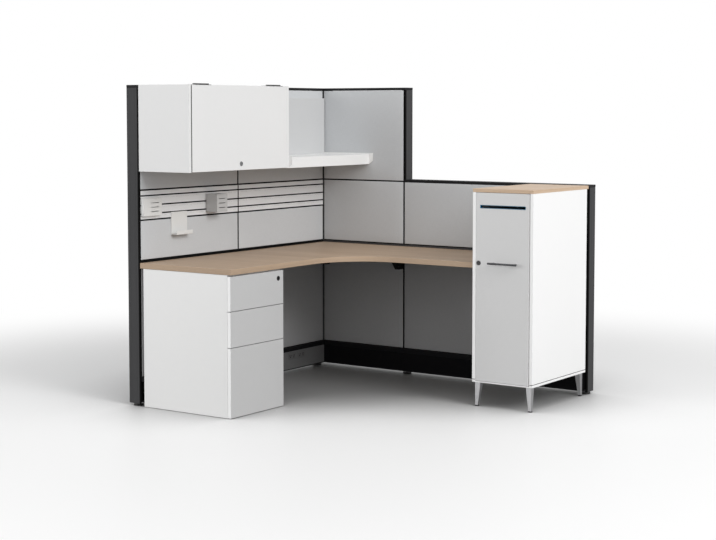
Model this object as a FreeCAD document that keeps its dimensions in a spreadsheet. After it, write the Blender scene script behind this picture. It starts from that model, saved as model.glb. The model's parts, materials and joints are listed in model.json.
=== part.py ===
# Cubicle workstation: panel walls on two sides, L worktop, pedestal, overhead cabinet, shelf and tower.
# Millimetres. Construction coordinates start at the inner corner of the walls, on the floor: the left wall
# runs along -Y and the back wall along +X. middleX and middleY bring the footprint's centre to the origin.
import FreeCAD, Part
import os
import re
import Sketcher

Vector = FreeCAD.Vector
doc = FreeCAD.newDocument("CubicleWorkstation")
sheet = doc.addObject("Spreadsheet::Sheet", "Sizes")

sizes = {
    # walls
    "leftRun": 1600, "highRun": 570, "lowRun": 1170, "highTop": 1650, "lowTop": 1125,
    "tileThick": 14, "frameDeep": 52, "halfReveal": 4, "capHigh": 14, "trimThick": 8, "gasketWide": 12,
    "uprightWide": 24, "uprightSheet": 1.5, "railHalf": 15, "railSheet": 2, "footPlate": 6, "frameFoot": 24,
    "trimFoot": 14,
    "slotWide": 2.5, "slotHigh": 16, "slotPitch": 32, "slotBase": 170, "slotInset": 2.75,
    "racewaySeam": 150, "deskSeamRise": 11, "slatHigh": 154, "upperSeamDrop": 11, "capGap": 2,
    "bridgeThick": 3,
    "bridgeLow": 45, "bridgeHigh": 115, "screwRadius": 4, "screwHead": 2.5,
    "racewayProud": 19, "racewayFoot": 21, "racewayOver": 1, "racewayRail": 23, "racewayRailLow": 6,
    "coverSheet": 2.5, "coverGap": 0.5,
    "outletAlongA": 337, "outletAlongB": 248, "outletLong": 76, "outletHigh": 44, "outletLevel": 100,
    "outletDeep": 24, "outletProud": 1.5, "outletGap": 0.5, "socketLong": 26, "socketApart": 32,
    "socketDeep": 3,
    "glideRadius": 25, "glideHigh": 9, "glideInset": 2, "studRadius": 5,
    # slatted rail
    "slatDropA": 29.5, "slatDropB": 78.5, "slatDropC": 122.5, "grooveHigh": 7, "lipThick": 4,
    "lipHigh": 8, "slatDeep": 9,
    # hooks into the uprights
    "hookThick": 1.5, "hookNeck": 8, "hookDrop": 6, "hookRise": 0.5, "hookPlay": 0.4, "hookTip": 3.5,
    # worktop
    "deskHeight": 742, "deskThick": 28, "deskDepth": 600, "deskGap": 2, "cornerRadius": 300,
    "deskEdge": 1.5,
    "bracketWide": 28, "bracketSheet": 3, "bracketHigh": 104, "bracketTip": 20, "bracketHeel": 46,
    "bracketKnee": 115, "bracketRise": 80, "bracketReach": 450, "cleatHigh": 40, "cleatWide": 40, "cleatSetback": 60,
    # overhead cabinet
    "overInset": 2, "overPast": 20, "overDeep": 338, "overTall": 440, "overBoard": 18,
    "overBack": 6, "flapGapSide": 4, "flapGap": 2, "flapBackGap": 3,
    "barrelRadius": 3.2, "pinRadius": 1.6, "pinPlay": 0.1, "barrelLift": 0.2, "hingeLong": 120,
    "hingeIn": 113, "knuckleGap": 0.4, "leafThick": 1.8, "leafLong": 30, "leafGap": 0.5,
    "lockRadius": 8, "lockFace": 12, "lockProud": 2, "lockPlay": 0.3, "camThick": 3, "camWide": 8,
    "camLong": 16,
    "overLockRise": 35, "strikeThick": 3, "strikeHigh": 6, "strikeWide": 30, "strikeGap": 1,
    # open shelf
    "shelfDeep": 330, "shelfDrop": 1, "shelfLipHigh": 58, "shelfSheet": 2,
    "shelfBackTall": 324, "shelfBackThick": 12, "shelfPlate": 1.5, "noseLong": 28, "noseRise": 65,
    "noseDrop": 21, "shelfBackLip": 20,
    # accessories on the slats
    "accessoryGap": 0.4, "accessorySheet": 2, "clipThick": 2, "clipWide": 20, "clipPlay": 0.5,
    "holderIn": 14, "holderWide": 140, "holderFall": 55.5, "holderRise": 41.5, "pocketDeep": 16,
    "pocketDrop": 8, "pocketSheet": 2, "slitHigh": 4, "holderSlitFarShare": 0.42, "holderSlitNearShare": 0.16,
    "cupSlitShare": 0.2,
    "ledgeIn": 242, "ledgeWide": 126, "ledgeFall": 119.5, "ledgeDeep": 42, "ledgeLip": 21, "ledgeSheet": 3,
    "cupIn": 522, "cupWide": 88, "cupDeep": 75, "cupFall": 58.5, "cupRise": 37.5, "cupWall": 2,
    "cupOff": 5,
    # pedestal
    "pedInset": 3, "pedWide": 427, "caseClear": 3, "pedSetback": 26, "pedLow": 2, "pedPad": 1,
    "pedBoard": 16, "pedFrontThick": 19, "pedFrontGap": 1, "padRadius": 15, "padInset": 40,
    "topDrawerHigh": 181, "middleDrawerHigh": 180, "seamHalf": 1.5, "frontLowGap": 1, "frontHighGap": 7,
    "runnerWide": 12.7, "runnerPlay": 0.3, "runnerMember": 3.8, "runnerHigh": 45, "runnerBack": 54,
    "runnerShy": 28, "runnerStep": 2, "boxSheet": 2, "boxBack": 4, "boxLift": 16, "boxFall": 40,
    "boxRunnerRise": 36,
    "catchRise": 16, "catchHigh": 8, "catchThick": 4.5, "catchWide": 6, "catchPlay": 1.5, "tabLong": 4,
    "tabDrop": 4, "barWide": 12, "barThick": 3.2, "barInset": 0.4, "barSetback": 14, "barLift": 10,
    "barFoot": 20, "barHead": 10, "pedLockIn": 42, "pedLockDrop": 47, "driveTab": 4, "driveDrop": 5,
    "driveGap": 7,
    "fileRailThick": 3, "fileRailHigh": 14, "fileRailIn": 18,
    "trayDeep": 90, "trayHigh": 22, "trayWall": 2.5, "trayLift": 45,
    # storage tower
    "towerWide": 350, "towerPast": 15, "towerDrop": 2,
    "topThick": 18, "topBack": 4, "towerBoard": 18, "towerBackThick": 6, "baseHigh": 13, "baseLip": 6,
    "baseSeam": 2.5, "baseSeamDeep": 4, "doorThick": 18, "doorGap": 2, "doorSide": 1.5, "doorHingeSide": 5.5,
    "pivotInset": 5.5, "pivotRadius": 2.5, "pivotPlay": 0.1, "bushWall": 1.5, "pivotLong": 18, "pivotPlate": 1.5, "pivotPlateWide": 11,
    "mailWide": 262, "mailDrop": 99, "mailHigh": 16, "mailWall": 1.5, "mailProud": 1, "mailDeep": 19,
    "towerLockIn": 36, "towerLockLevel": 743, "towerCamGap": 8, "catchPlate": 3, "catchReach": 8,
    "catchTall": 24,
    "gripLevel": 746, "gripIn": 189, "gripPosts": 128, "gripLong": 164, "gripRadius": 5,
    "gripReach": 35,
    "shelfLevelLow": 420, "shelfLevelHigh": 820, "towerShelfGap": 1, "towerStep": 40,
    "legInset": 12, "legTop": 31, "legTip": 16, "legPad": 6, "legHigh": 121,
}

derived = {
    "wallThick": "=2 * tileThick + frameDeep",
    "backRun": "=highRun + lowRun",
    "middleX": "=(highRun + lowRun - 2 * tileThick - frameDeep) / 2",
    "middleY": "=(leftRun - 2 * tileThick - frameDeep) / 2",
    "baySeam": "=leftRun / 2",
    "leftEnd": "=leftRun - trimThick",
    "backEnd": "=highRun + lowRun - trimThick",
    "frameBack": "=tileThick + frameDeep",
    "racewayTop": "=racewaySeam + racewayOver",
    "deskSeam": "=deskHeight + deskSeamRise",
    "upperSeam": "=lowTop - upperSeamDrop",
    "slatSeam": "=upperSeam - slatHigh",
    "slatGrooveA": "=upperSeam - slatDropA",
    "slatGrooveB": "=upperSeam - slatDropB",
    "slatGrooveC": "=upperSeam - slatDropC",
    "overLeft": "=leftRun - overInset",
    "overWide": "=overLeft - baySeam + overPast",
    "overHigh": "=highTop",
    "overLow": "=overHigh - overTall",
    "hingeSpread": "=overWide - 2 * hingeIn",
    "shelfLow": "=overLow - shelfDrop",
    "shelfDeck": "=shelfLow + shelfLipHigh",
    "shelfBackTop": "=shelfDeck + shelfBackTall",
    "noseReach": "=shelfDeep + noseLong",
    "noseHigh": "=shelfLow + noseRise",
    "noseLow": "=shelfLow + noseDrop",
    "holderFar": "=leftRun - holderIn",
    "holderNear": "=holderFar - holderWide",
    "holderLow": "=slatGrooveB - holderFall",
    "holderHigh": "=slatGrooveB + holderRise",
    "ledgeFar": "=leftRun - ledgeIn",
    "ledgeNear": "=ledgeFar - ledgeWide",
    "ledgeLow": "=slatGrooveC - ledgeFall",
    "cupFar": "=leftRun - cupIn",
    "cupNear": "=cupFar - cupWide",
    "cupLow": "=slatGrooveB - cupFall",
    "cupHigh": "=slatGrooveB + cupRise",
    "pedFar": "=leftRun - pedInset",
    "pedNear": "=pedFar - pedWide",
    "pedBack": "=racewayProud + caseClear",
    "pedFront": "=deskDepth - pedSetback",
    "pedHigh": "=deskHeight - deskThick - pedPad",
    "seamHigh": "=pedHigh - topDrawerHigh",
    "seamLow": "=seamHigh - middleDrawerHigh",
    "runnerLong": "=pedFront - pedBack - runnerBack - runnerShy",
    "towerLeft": "=highRun + lowRun - towerWide",
    "towerFront": "=deskDepth + towerPast",
    "towerBack": "=racewayProud + caseClear",
    "towerLow": "=legHigh + legPad",
    "towerTop": "=lowTop - towerDrop",
    "mailLow": "=towerTop - mailDrop",
    "gripMiddle": "=towerLeft + gripIn",
}

row = 0
for name, value in list(sizes.items()) + list(derived.items()):
    row = row + 1
    cell = "A" + str(row)
    sheet.set(cell, str(value))
    sheet.setAlias(cell, name)
doc.recompute()
aliases = set(sizes) | set(derived)
nodes = {}


def words(expression):
    """Puts the sheet's name before each of its aliases."""
    return re.sub(r"[A-Za-z]\w*", lambda m: "Sizes." + m.group() if m.group() in aliases else m.group(),
                  expression)


def bind(thing, **places):
    """Binds properties to expressions; a place such as Placement_Base_x stands for Placement.Base.x."""
    for place, expression in places.items():
        thing.setExpression(place.replace("_", "."), words(expression))


def less(low, high):
    return "(" + high + ") - (" + low + ")"


def place(thing, x, y, z):
    """Puts a thing's own origin at a point given from the walls' inner corner."""
    bind(thing, Placement_Base_x=x + " - middleX", Placement_Base_y=y + " + middleY", Placement_Base_z=z)


def block(name, x, y, z):
    """A box between three pairs of expressions, given from the walls' inner corner."""
    box = doc.addObject("Part::Box", name)
    bind(box, Length=less(*x), Width=less(*y), Height=less(*z))
    place(box, "(" + x[0] + ")", "(" + y[0] + ")", "(" + z[0] + ")")
    return box


def onWall(wall, along, out):
    """Turns distances along a wall and out of the room into pairs of x and y."""
    if wall == "left":
        return ("-(" + out[1] + ")", "-(" + out[0] + ")"), ("-(" + along[1] + ")", "-(" + along[0] + ")")
    return along, out


def wallBlock(name, wall, along, out, z):
    x, y = onWall(wall, along, out)
    return block(name, x, y, z)


def rod(name, radius, length, x, y, z, axis=Vector(0, 0, 1)):
    """A cylinder that starts at a point and runs along an axis."""
    cylinder = doc.addObject("Part::Cylinder", name)
    cylinder.Placement = FreeCAD.Placement(Vector(), FreeCAD.Rotation(Vector(0, 0, 1), axis))
    bind(cylinder, Radius=radius, Height=length)
    place(cylinder, "(" + x + ")", "(" + y + ")", "(" + z + ")")
    return cylinder


def fuse(name, pieces):
    joined = doc.addObject("Part::MultiFuse", name)
    joined.Shapes = pieces
    return joined


def cut(name, base, tools):
    """Takes one tool or several from a base."""
    result = doc.addObject("Part::Cut", name)
    result.Base = base
    result.Tool = tools[0] if len(tools) == 1 else fuse(name + "_tools", tools)
    return result


def node(name, pieces):
    """A named sub-part: one solid, or a group of separate solids."""
    if len(pieces) == 1:
        result = pieces[0]
    else:
        result = doc.addObject("Part::Compound", name)
        result.Links = pieces
    result.Label = name
    nodes[name] = result
    return result


def originPlane(body, role):
    return next(item for item in body.Origin.OriginFeatures if item.Role == role)


def outline(body, name, role, corners):
    """A closed sketch of straight lines through corners that are given as pairs of expressions."""
    sketch = body.newObject("Sketcher::SketchObject", name)
    sketch.AttachmentSupport = (originPlane(body, role), [""])
    sketch.MapMode = "FlatFace"
    addOutline(sketch, corners)
    return sketch


def addOutline(sketch, corners):
    first = sketch.GeometryCount
    count = len(corners)
    spots = [Vector(1 + index, 1 + (index * index) % (count + 1), 0) for index in range(count)]
    for index in range(count):
        sketch.addGeometry(Part.LineSegment(spots[index], spots[(index + 1) % count]), False)
    for index in range(count):
        sketch.addConstraint(Sketcher.Constraint("Coincident", first + index, 2,
                                                 first + (index + 1) % count, 1))
    for index, corner in enumerate(corners):
        for kind, axis, expression in (("DistanceX", -2, corner[0]), ("DistanceY", -1, corner[1])):
            if expression == "0":
                sketch.addConstraint(Sketcher.Constraint("PointOnObject", first + index, 1, axis))
                continue
            number = sketch.addConstraint(Sketcher.Constraint(kind, -1, 1, first + index, 1,
                                                              spots[index].x))
            label = kind + str(first + index)
            sketch.renameConstraint(number, label)
            sketch.setExpression("Constraints." + label, words(expression))


def pad(body, name, sketch, length):
    feature = body.newObject("PartDesign::Pad", name)
    feature.Profile = sketch
    bind(feature, Length=length)
    return feature


def slotLevel(target):
    """The lower edge of the highest slot that starts at or below a level."""
    return "(slotBase + floor((" + target + " - slotBase) / slotPitch) * slotPitch)"


def hook(name, wall, column, level):
    """A sheet hook: its neck goes through a slot and its tip drops behind the upright's sheet."""
    along = (column + " - hookThick / 2", column + " + hookThick / 2")
    back = "tileThick + uprightSheet + hookPlay + hookTip"
    neck = wallBlock(name + "_neck", wall, along, ("0", back), (level + " + hookRise",
                                                                level + " + hookRise + hookNeck"))
    tip = wallBlock(name + "_tip", wall, along, ("tileThick + uprightSheet + hookPlay", back),
                    (level + " - hookDrop", level + " + hookRise"))
    return [neck, tip]


# Panel frames
bays = {
    "left_front": {"wall": "left", "near": "baySeam", "far": "leftEnd", "top": "highTop", "slats": True},
    "left_rear": {"wall": "left", "near": "0", "far": "baySeam", "top": "highTop", "slats": True},
    "back_high": {"wall": "back", "near": "0", "far": "highRun", "top": "highTop", "slats": False},
    "back_low": {"wall": "back", "near": "highRun", "far": "backEnd", "top": "lowTop", "slats": False},
}


def upright(name, bay, near):
    """A folded steel tube with one column of slots beside the seam."""
    start = bay["near"] if near else bay["far"] + " - uprightWide"
    body = doc.addObject("PartDesign::Body", name)
    section = outline(body, name + "_section", "XY_Plane",
                      [("0", "0"), ("uprightWide", "0"), ("uprightWide", "frameDeep"), ("0", "frameDeep")])
    addOutline(section, [("uprightSheet", "uprightSheet"), ("uprightWide - uprightSheet", "uprightSheet"),
                         ("uprightWide - uprightSheet", "frameDeep - uprightSheet"),
                         ("uprightSheet", "frameDeep - uprightSheet")])
    tall = bay["top"] + " - capHigh - bridgeThick - frameFoot - footPlate"
    pad(body, name + "_tube", section, tall)
    seamAtLocalZero = near == (bay["wall"] == "back")
    middle = "slotInset" if seamAtLocalZero else "(uprightWide - slotInset)"
    low = "(slotBase - frameFoot - footPlate)"
    slot = outline(body, name + "_slot", "XZ_Plane", [
        (middle + " - slotWide / 2", low), (middle + " + slotWide / 2", low),
        (middle + " + slotWide / 2", low + " + slotHigh"), (middle + " - slotWide / 2",
                                                            low + " + slotHigh")])
    pocket = body.newObject("PartDesign::Pocket", name + "_cut")
    pocket.Profile = slot
    pocket.Type = "ThroughAll"
    pocket.Midplane = True
    doc.recompute()
    pattern = body.newObject("PartDesign::LinearPattern", name + "_row")
    pattern.Originals = [pocket]
    pattern.Direction = (originPlane(body, "Z_Axis"), [""])
    pattern.Mode = "Spacing"
    count = "floor((" + bay["top"] + " - capHigh - slotHigh - slotBase) / slotPitch)"
    bind(pattern, Offset="slotPitch", Occurrences=count)
    body.Tip = pattern
    if bay["wall"] == "left":
        body.Placement = FreeCAD.Placement(Vector(), FreeCAD.Rotation(Vector(0, 0, 1), 90))
        place(body, "-tileThick", "-(" + start + " + uprightWide)", "frameFoot + footPlate")
    else:
        place(body, "(" + start + ")", "tileThick", "frameFoot + footPlate")
    return body


def crossRail(name, bay, level):
    """A box-section rail between a frame's uprights, open at its ends."""
    along = (bay["near"] + " + uprightWide", bay["far"] + " - uprightWide")
    outer = wallBlock(name + "_outer", bay["wall"], along, ("tileThick", "frameBack"),
                      (level + " - railHalf", level + " + railHalf"))
    inner = wallBlock(name + "_inner", bay["wall"], along, ("tileThick + railSheet",
                                                            "frameBack - railSheet"),
                      (level + " - railHalf + railSheet", level + " + railHalf - railSheet"))
    return cut(name, outer, [inner])


def frame(name, bay):
    pieces = []
    for end, near in (("near", True), ("far", False)):
        pieces.append(upright(name + "_upright_" + end, bay, near))
        start = bay["near"] if near else bay["far"] + " - uprightWide"
        pieces.append(wallBlock(name + "_foot_" + end, bay["wall"], (start, start + " + uprightWide"),
                                ("tileThick", "frameBack"), ("frameFoot", "frameFoot + footPlate")))
    levels = ["frameFoot + railHalf", "racewaySeam", "deskSeam"]
    if bay["slats"]:
        levels = levels + ["slatSeam", "upperSeam"]
    elif bay["top"] == "highTop":
        levels = levels + ["upperSeam"]
    levels = levels + [bay["top"] + " - capHigh - bridgeThick - railHalf"]
    for number, level in enumerate(levels):
        pieces.append(crossRail(name + "_rail_" + str(number), bay, level))
    node("frame_" + name, pieces)


for name, bay in bays.items():
    frame(name, bay)

postOuter = block("post_outer", ("-wallThick", "0"), ("0", "wallThick"), ("frameFoot", "highTop - capHigh"))
postInner = block("post_inner", ("-wallThick + railSheet", "-railSheet"), ("railSheet",
                                                                           "wallThick - railSheet"),
                  ("frameFoot - railSheet", "highTop - capHigh + railSheet"))
node("corner_post", [cut("corner_tube", postOuter, [postInner])])


# Bridge plates that join neighbouring frames
def bridges():
    top = ("highTop - capHigh - bridgeThick", "highTop - capHigh")
    depth = ("tileThick", "frameBack")
    pieces = [
        wallBlock("bridge_seam", "left", ("baySeam - uprightWide", "baySeam + uprightWide"), depth, top),
        wallBlock("bridge_end", "left", ("leftEnd - uprightWide", "leftEnd"), depth, top),
        wallBlock("bridge_corner_left", "left", ("0", "uprightWide"), depth, top),
        wallBlock("bridge_corner_back", "back", ("0", "uprightWide"), depth, top),
        wallBlock("bridge_step", "back", ("highRun - uprightWide", "highRun"), depth, top),
    ]
    lowTop = ("lowTop - capHigh - bridgeThick", "lowTop - capHigh")
    pieces.append(wallBlock("bridge_low_step", "back", ("highRun", "highRun + uprightWide"), depth, lowTop))
    pieces.append(wallBlock("bridge_low_end", "back", ("backEnd - uprightWide", "backEnd"), depth, lowTop))
    for number, (wall, seam) in enumerate((("left", "baySeam"), ("back", "highRun"))):
        label = "bridge_base_" + str(number)
        plate = wallBlock(label, wall, (seam + " - uprightWide", seam + " + uprightWide"),
                          ("tileThick - bridgeThick", "tileThick"), ("bridgeLow", "bridgeHigh"))
        heads = []
        for side in ("-", "+"):
            for level in ("(3 * bridgeLow + bridgeHigh) / 4", "(bridgeLow + 3 * bridgeHigh) / 4"):
                along = seam + " " + side + " uprightWide / 2"
                out = "tileThick - bridgeThick - screwHead"
                name = label + "_screw_" + str(len(heads))
                if wall == "left":
                    heads.append(rod(name, "screwRadius", "screwHead", "-(" + out + " + screwHead)",
                                     "-(" + along + ")", level, Vector(1, 0, 0)))
                else:
                    heads.append(rod(name, "screwRadius", "screwHead", along, out, level, Vector(0, 1, 0)))
        pieces.append(fuse(label + "_screwed", [plate] + heads))
    return pieces


node("panel_connectors", bridges())

# Tiles
tileIn = ("0", "tileThick")
tileOut = ("frameBack", "wallThick")


def tile(name, bay, out, low, high):
    along = (bay["near"] + " + halfReveal", bay["far"] + " - halfReveal")
    return wallBlock(name, bay["wall"], along, out, (low, high))


def tileTop(bay):
    return bay["top"] + " - capHigh - capGap"


upperTiles = []
deskTiles = []
underTiles = []
outerTiles = []
for name, bay in bays.items():
    if bay["top"] == "highTop":
        upperTiles.append(tile("upper_" + name, bay, tileIn, "upperSeam + halfReveal", tileTop(bay)))
    if bay["slats"]:
        deskTop = "slatSeam - halfReveal"
    elif bay["top"] == "highTop":
        deskTop = "upperSeam - halfReveal"
    else:
        deskTop = tileTop(bay)
    deskTiles.append(tile("desk_" + name, bay, tileIn, "deskSeam + halfReveal", deskTop))
    underTiles.append(tile("under_" + name, bay, tileIn, "racewaySeam + halfReveal",
                           "deskSeam - halfReveal"))
    outerTiles.append(tile("outer_low_" + name, bay, tileOut, "racewaySeam + halfReveal",
                           "deskSeam - halfReveal"))
    outerTiles.append(tile("outer_high_" + name, bay, tileOut, "deskSeam + halfReveal", tileTop(bay)))
node("upper_tiles", upperTiles)
node("desk_tiles", deskTiles)
node("under_desk_tiles", underTiles)
node("outer_tiles", outerTiles)

# Caps, end trims and gaskets
highCap = ("highTop - capHigh", "highTop")
lowCap = ("lowTop - capHigh", "lowTop")
node("top_cap_high", [
    block("cap_left", ("-wallThick", "0"), ("-leftRun", "wallThick"), highCap),
    block("cap_back", ("0", "highRun + trimThick"), ("0", "wallThick"), highCap)])
node("top_cap_low", [block("cap_low", ("highRun", "backRun"), ("0", "wallThick"), lowCap)])
node("end_trims", [
    wallBlock("trim_left", "left", ("leftEnd", "leftRun"), ("tileThick", "wallThick"), ("trimFoot",
                                                                                        highCap[0])),
    wallBlock("trim_right", "back", ("backEnd", "backRun"), ("tileThick", "wallThick"), ("trimFoot",
                                                                                         lowCap[0])),
    wallBlock("trim_step", "back", ("highRun", "highRun + trimThick"), ("tileThick", "wallThick"),
              ("lowTop", highCap[0]))])
gasketOut = ("tileThick - gasketWide", "tileThick")
node("edge_gaskets", [
    wallBlock("gasket_left", "left", ("leftEnd", "leftRun"), gasketOut, ("trimFoot", highCap[0])),
    wallBlock("gasket_right", "back", ("backEnd", "backRun"), gasketOut, ("trimFoot", lowCap[0])),
    wallBlock("gasket_step", "back", ("highRun", "highRun + trimThick"), gasketOut, ("lowTop",
                                                                                     highCap[0]))])


# Slatted rails: a web, four slat faces and the lips that the accessories hang on
def slatRail(name, bay):
    along = (bay["near"] + " + halfReveal", bay["far"] + " - halfReveal")
    low = "(slatSeam + halfReveal)"
    high = "(upperSeam - halfReveal)"
    pieces = [wallBlock(name + "_web", bay["wall"], along, ("slatDeep", "tileThick"), (low, high))]
    edges = [low]
    for groove in ("slatGrooveC", "slatGrooveB", "slatGrooveA"):
        top = "(" + groove + " - grooveHigh / 2)"
        pieces.append(wallBlock(name + "_face_" + groove, bay["wall"], along, ("0", "slatDeep"),
                                (edges[-1], top + " - lipHigh")))
        pieces.append(wallBlock(name + "_lip_" + groove, bay["wall"], along, ("0", "lipThick"),
                                (top + " - lipHigh", top)))
        edges.append("(" + groove + " + grooveHigh / 2)")
    pieces.append(wallBlock(name + "_face_top", bay["wall"], along, ("0", "slatDeep"), (edges[-1], high)))
    node("slat_rail_" + name, pieces)


slatRail("left_front", bays["left_front"])
slatRail("left_rear", bays["left_rear"])


# Raceway along the foot of both walls
outletSpots = ("outletAlongA", "outletAlongB")


def raceway():
    rails = []
    covers = []
    outer = []
    runs = []
    for name, bay in bays.items():
        near = bay["near"]
        if name == "left_rear":
            near = "racewayProud + coverGap"
        runs.append((name, bay["wall"], near, bay["far"]))
    for name, wall, near, far in runs:
        along = (near, far)
        rails.append(wallBlock("raceway_top_" + name, wall, along, ("-racewayProud", "tileThick"),
                               ("racewayTop - racewayRail", "racewayTop")))
        rails.append(wallBlock("raceway_low_" + name, wall, along, ("-racewayProud", "tileThick"),
                               ("racewayFoot", "racewayFoot + racewayRailLow")))
        coverZ = ("racewayFoot + racewayRailLow", "racewayTop - racewayRail")
        inset = (near + " + coverGap", far + " - coverGap")
        cover = wallBlock("raceway_cover_" + name, wall, inset, ("-racewayProud",
                                                                 "-racewayProud + coverSheet"), coverZ)
        if name == "left_rear":
            windows = []
            for spot in outletSpots:
                windows.append(wallBlock("window_" + spot, wall,
                                         (spot + " - outletLong / 2 - outletGap",
                                          spot + " + outletLong / 2 + outletGap"),
                                         ("-racewayProud - coverSheet", "-racewayProud + 2 * coverSheet"),
                                         ("outletLevel - outletHigh / 2 - outletGap",
                                          "outletLevel + outletHigh / 2 + outletGap")))
            cover = cut("raceway_cover_cut", cover, windows)
        covers.append(cover)
    for name, bay in bays.items():
        outer.append(wallBlock("outer_cover_" + name, bay["wall"], (bay["near"] + " + coverGap",
                                                                    bay["far"] + " - coverGap"),
                               ("frameBack", "frameBack + coverSheet"), ("frameFoot",
                                                                         "racewaySeam - halfReveal")))
    node("raceway_rails", rails)
    node("raceway_covers", covers)
    node("raceway_covers_outer", outer)


raceway()


def outlets():
    """Two duplex outlets whose bodies reach back to the frame."""
    pieces = []
    for spot in outletSpots:
        body = wallBlock("outlet_" + spot, "left", (spot + " - outletLong / 2", spot + " + outletLong / 2"),
                         ("-racewayProud - outletProud", "-racewayProud + outletDeep"),
                         ("outletLevel - outletHigh / 2", "outletLevel + outletHigh / 2"))
        stem = wallBlock("outlet_stem_" + spot, "left", (spot + " - outletHigh / 4",
                                                         spot + " + outletHigh / 4"),
                         ("-racewayProud + outletDeep", "tileThick"),
                         ("outletLevel - outletHigh / 4", "outletLevel + outletHigh / 4"))
        tools = []
        for side in ("-", "+"):
            middle = spot + " " + side + " socketApart / 2"
            tools.append(wallBlock("socket_" + spot + str(len(tools)), "left",
                                   (middle + " - socketLong / 2", middle + " + socketLong / 2"),
                                   ("-racewayProud - outletProud - socketDeep",
                                    "-racewayProud - outletProud + socketDeep / 3"),
                                   ("outletLevel - socketLong / 2", "outletLevel + socketLong / 2")))
        pieces.append(fuse("outlet_unit_" + spot, [cut("outlet_face_" + spot, body, tools), stem]))
    node("power_outlets", pieces)


outlets()

wallMiddle = "(wallThick / 2)"
glideSpots = (
    ("-" + wallMiddle, "-(leftRun - glideRadius - glideInset)"),
    ("-" + wallMiddle, "-baySeam"),
    ("-" + wallMiddle, "-uprightWide / 2"),
    ("highRun", wallMiddle),
    ("backRun - glideRadius - glideInset", wallMiddle),
)
glides = []
for number, (x, y) in enumerate(glideSpots):
    foot = rod("glide_foot_" + str(number), "glideRadius", "glideHigh", x, y, "0")
    stud = rod("glide_stud_" + str(number), "studRadius", "frameFoot", x, y, "0")
    glides.append(fuse("glide_" + str(number), [foot, stud]))
node("levelling_glides", glides)


# Worktop
def worktop():
    body = doc.addObject("PartDesign::Body", "worktop_board")
    right = "(towerLeft - 2 * deskGap)"
    front = "(deskDepth - deskGap)"
    left = "(leftRun - 2 * deskGap)"
    sketch = outline(body, "worktop_outline", "XY_Plane", [
        ("0", left), ("0", "0"), (front, "0"), (front, left + " - " + front),
        (right, left + " - " + front), (right, left)])
    board = pad(body, "worktop_pad", sketch, "deskThick")
    doc.recompute()
    inner = None
    for index, edge in enumerate(board.Shape.Edges):
        ends = [v.Point for v in edge.Vertexes]
        standing = abs(ends[0].z - ends[1].z) > sheet.deskThick / 2
        onFront = abs(ends[0].x - sheet.deskDepth + sheet.deskGap) < sheet.deskGap
        if standing and onFront and ends[0].y > sheet.deskDepth:
            inner = "Edge" + str(index + 1)
    curve = body.newObject("PartDesign::Fillet", "worktop_corner")
    curve.Base = (board, [inner])
    bind(curve, Radius="cornerRadius")
    doc.recompute()
    flats = []
    for index, face in enumerate(curve.Shape.Faces):
        if abs(face.normalAt(0, 0).z) > 0.5:
            flats.append("Face" + str(index + 1))
    edge = body.newObject("PartDesign::Fillet", "worktop_edge")
    edge.Base = (curve, flats)
    bind(edge, Radius="deskEdge")
    body.Tip = edge
    place(body, "deskGap", "-(leftRun - deskGap)", "deskHeight - deskThick")
    node("worktop", [body])


worktop()
deskUnder = "(deskHeight - deskThick)"


def bracketShape(name, wall, corners, span):
    """A side outline carried across a span of the wall."""
    body = doc.addObject("PartDesign::Body", name)
    shape = pad(body, name + "_pad", outline(body, name + "_outline", "XZ_Plane", corners), less(*span))
    shape.Midplane = True
    middle = "((" + span[0] + " + " + span[1] + ") / 2)"
    if wall == "left":
        place(body, "0", "-" + middle, "(" + deskUnder + " - bracketHigh)")
    else:
        body.Placement = FreeCAD.Placement(Vector(), FreeCAD.Rotation(Vector(0, 0, 1), -90))
        place(body, middle, "0", "(" + deskUnder + " - bracketHigh)")
    return body


def cantilever(name, wall, column, direction):
    """A pressed channel whose closed side stands on the slot column; it opens along the wall."""
    half = "hookThick / 2"
    if direction > 0:
        whole = (column + " - " + half, column + " - " + half + " + bracketWide")
        hollow = (whole[0] + " + bracketSheet", whole[1] + " + bracketSheet")
    else:
        whole = (column + " + " + half + " - bracketWide", column + " + " + half)
        hollow = (whole[0] + " - bracketSheet", whole[1] + " - bracketSheet")
    outer = bracketShape(name + "_outer", wall, [
        ("0", "0"), ("bracketHeel", "0"), ("bracketKnee", "bracketRise"),
        ("bracketReach", "bracketHigh - bracketTip"), ("bracketReach", "bracketHigh"), ("0", "bracketHigh")],
        whole)
    inner = bracketShape(name + "_inner", wall, [
        ("bracketSheet", "bracketSheet"), ("bracketHeel - bracketSheet / 2", "bracketSheet"),
        ("bracketKnee - bracketSheet / 2", "bracketRise + bracketSheet"),
        ("bracketReach - bracketSheet", "bracketHigh - bracketTip + bracketSheet"),
        ("bracketReach - bracketSheet", "bracketHigh - bracketSheet"),
        ("bracketSheet", "bracketHigh - bracketSheet")], hollow)
    low = slotLevel("(" + deskUnder + " - bracketHigh + slotPitch)")
    high = slotLevel("(" + deskUnder + " - hookNeck - 2 * hookRise)")
    hooks = hook(name + "_hook_low", wall, column, low) + hook(name + "_hook_high", wall, column, high)
    return fuse(name, [cut(name + "_channel", outer, [inner])] + hooks)


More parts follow.
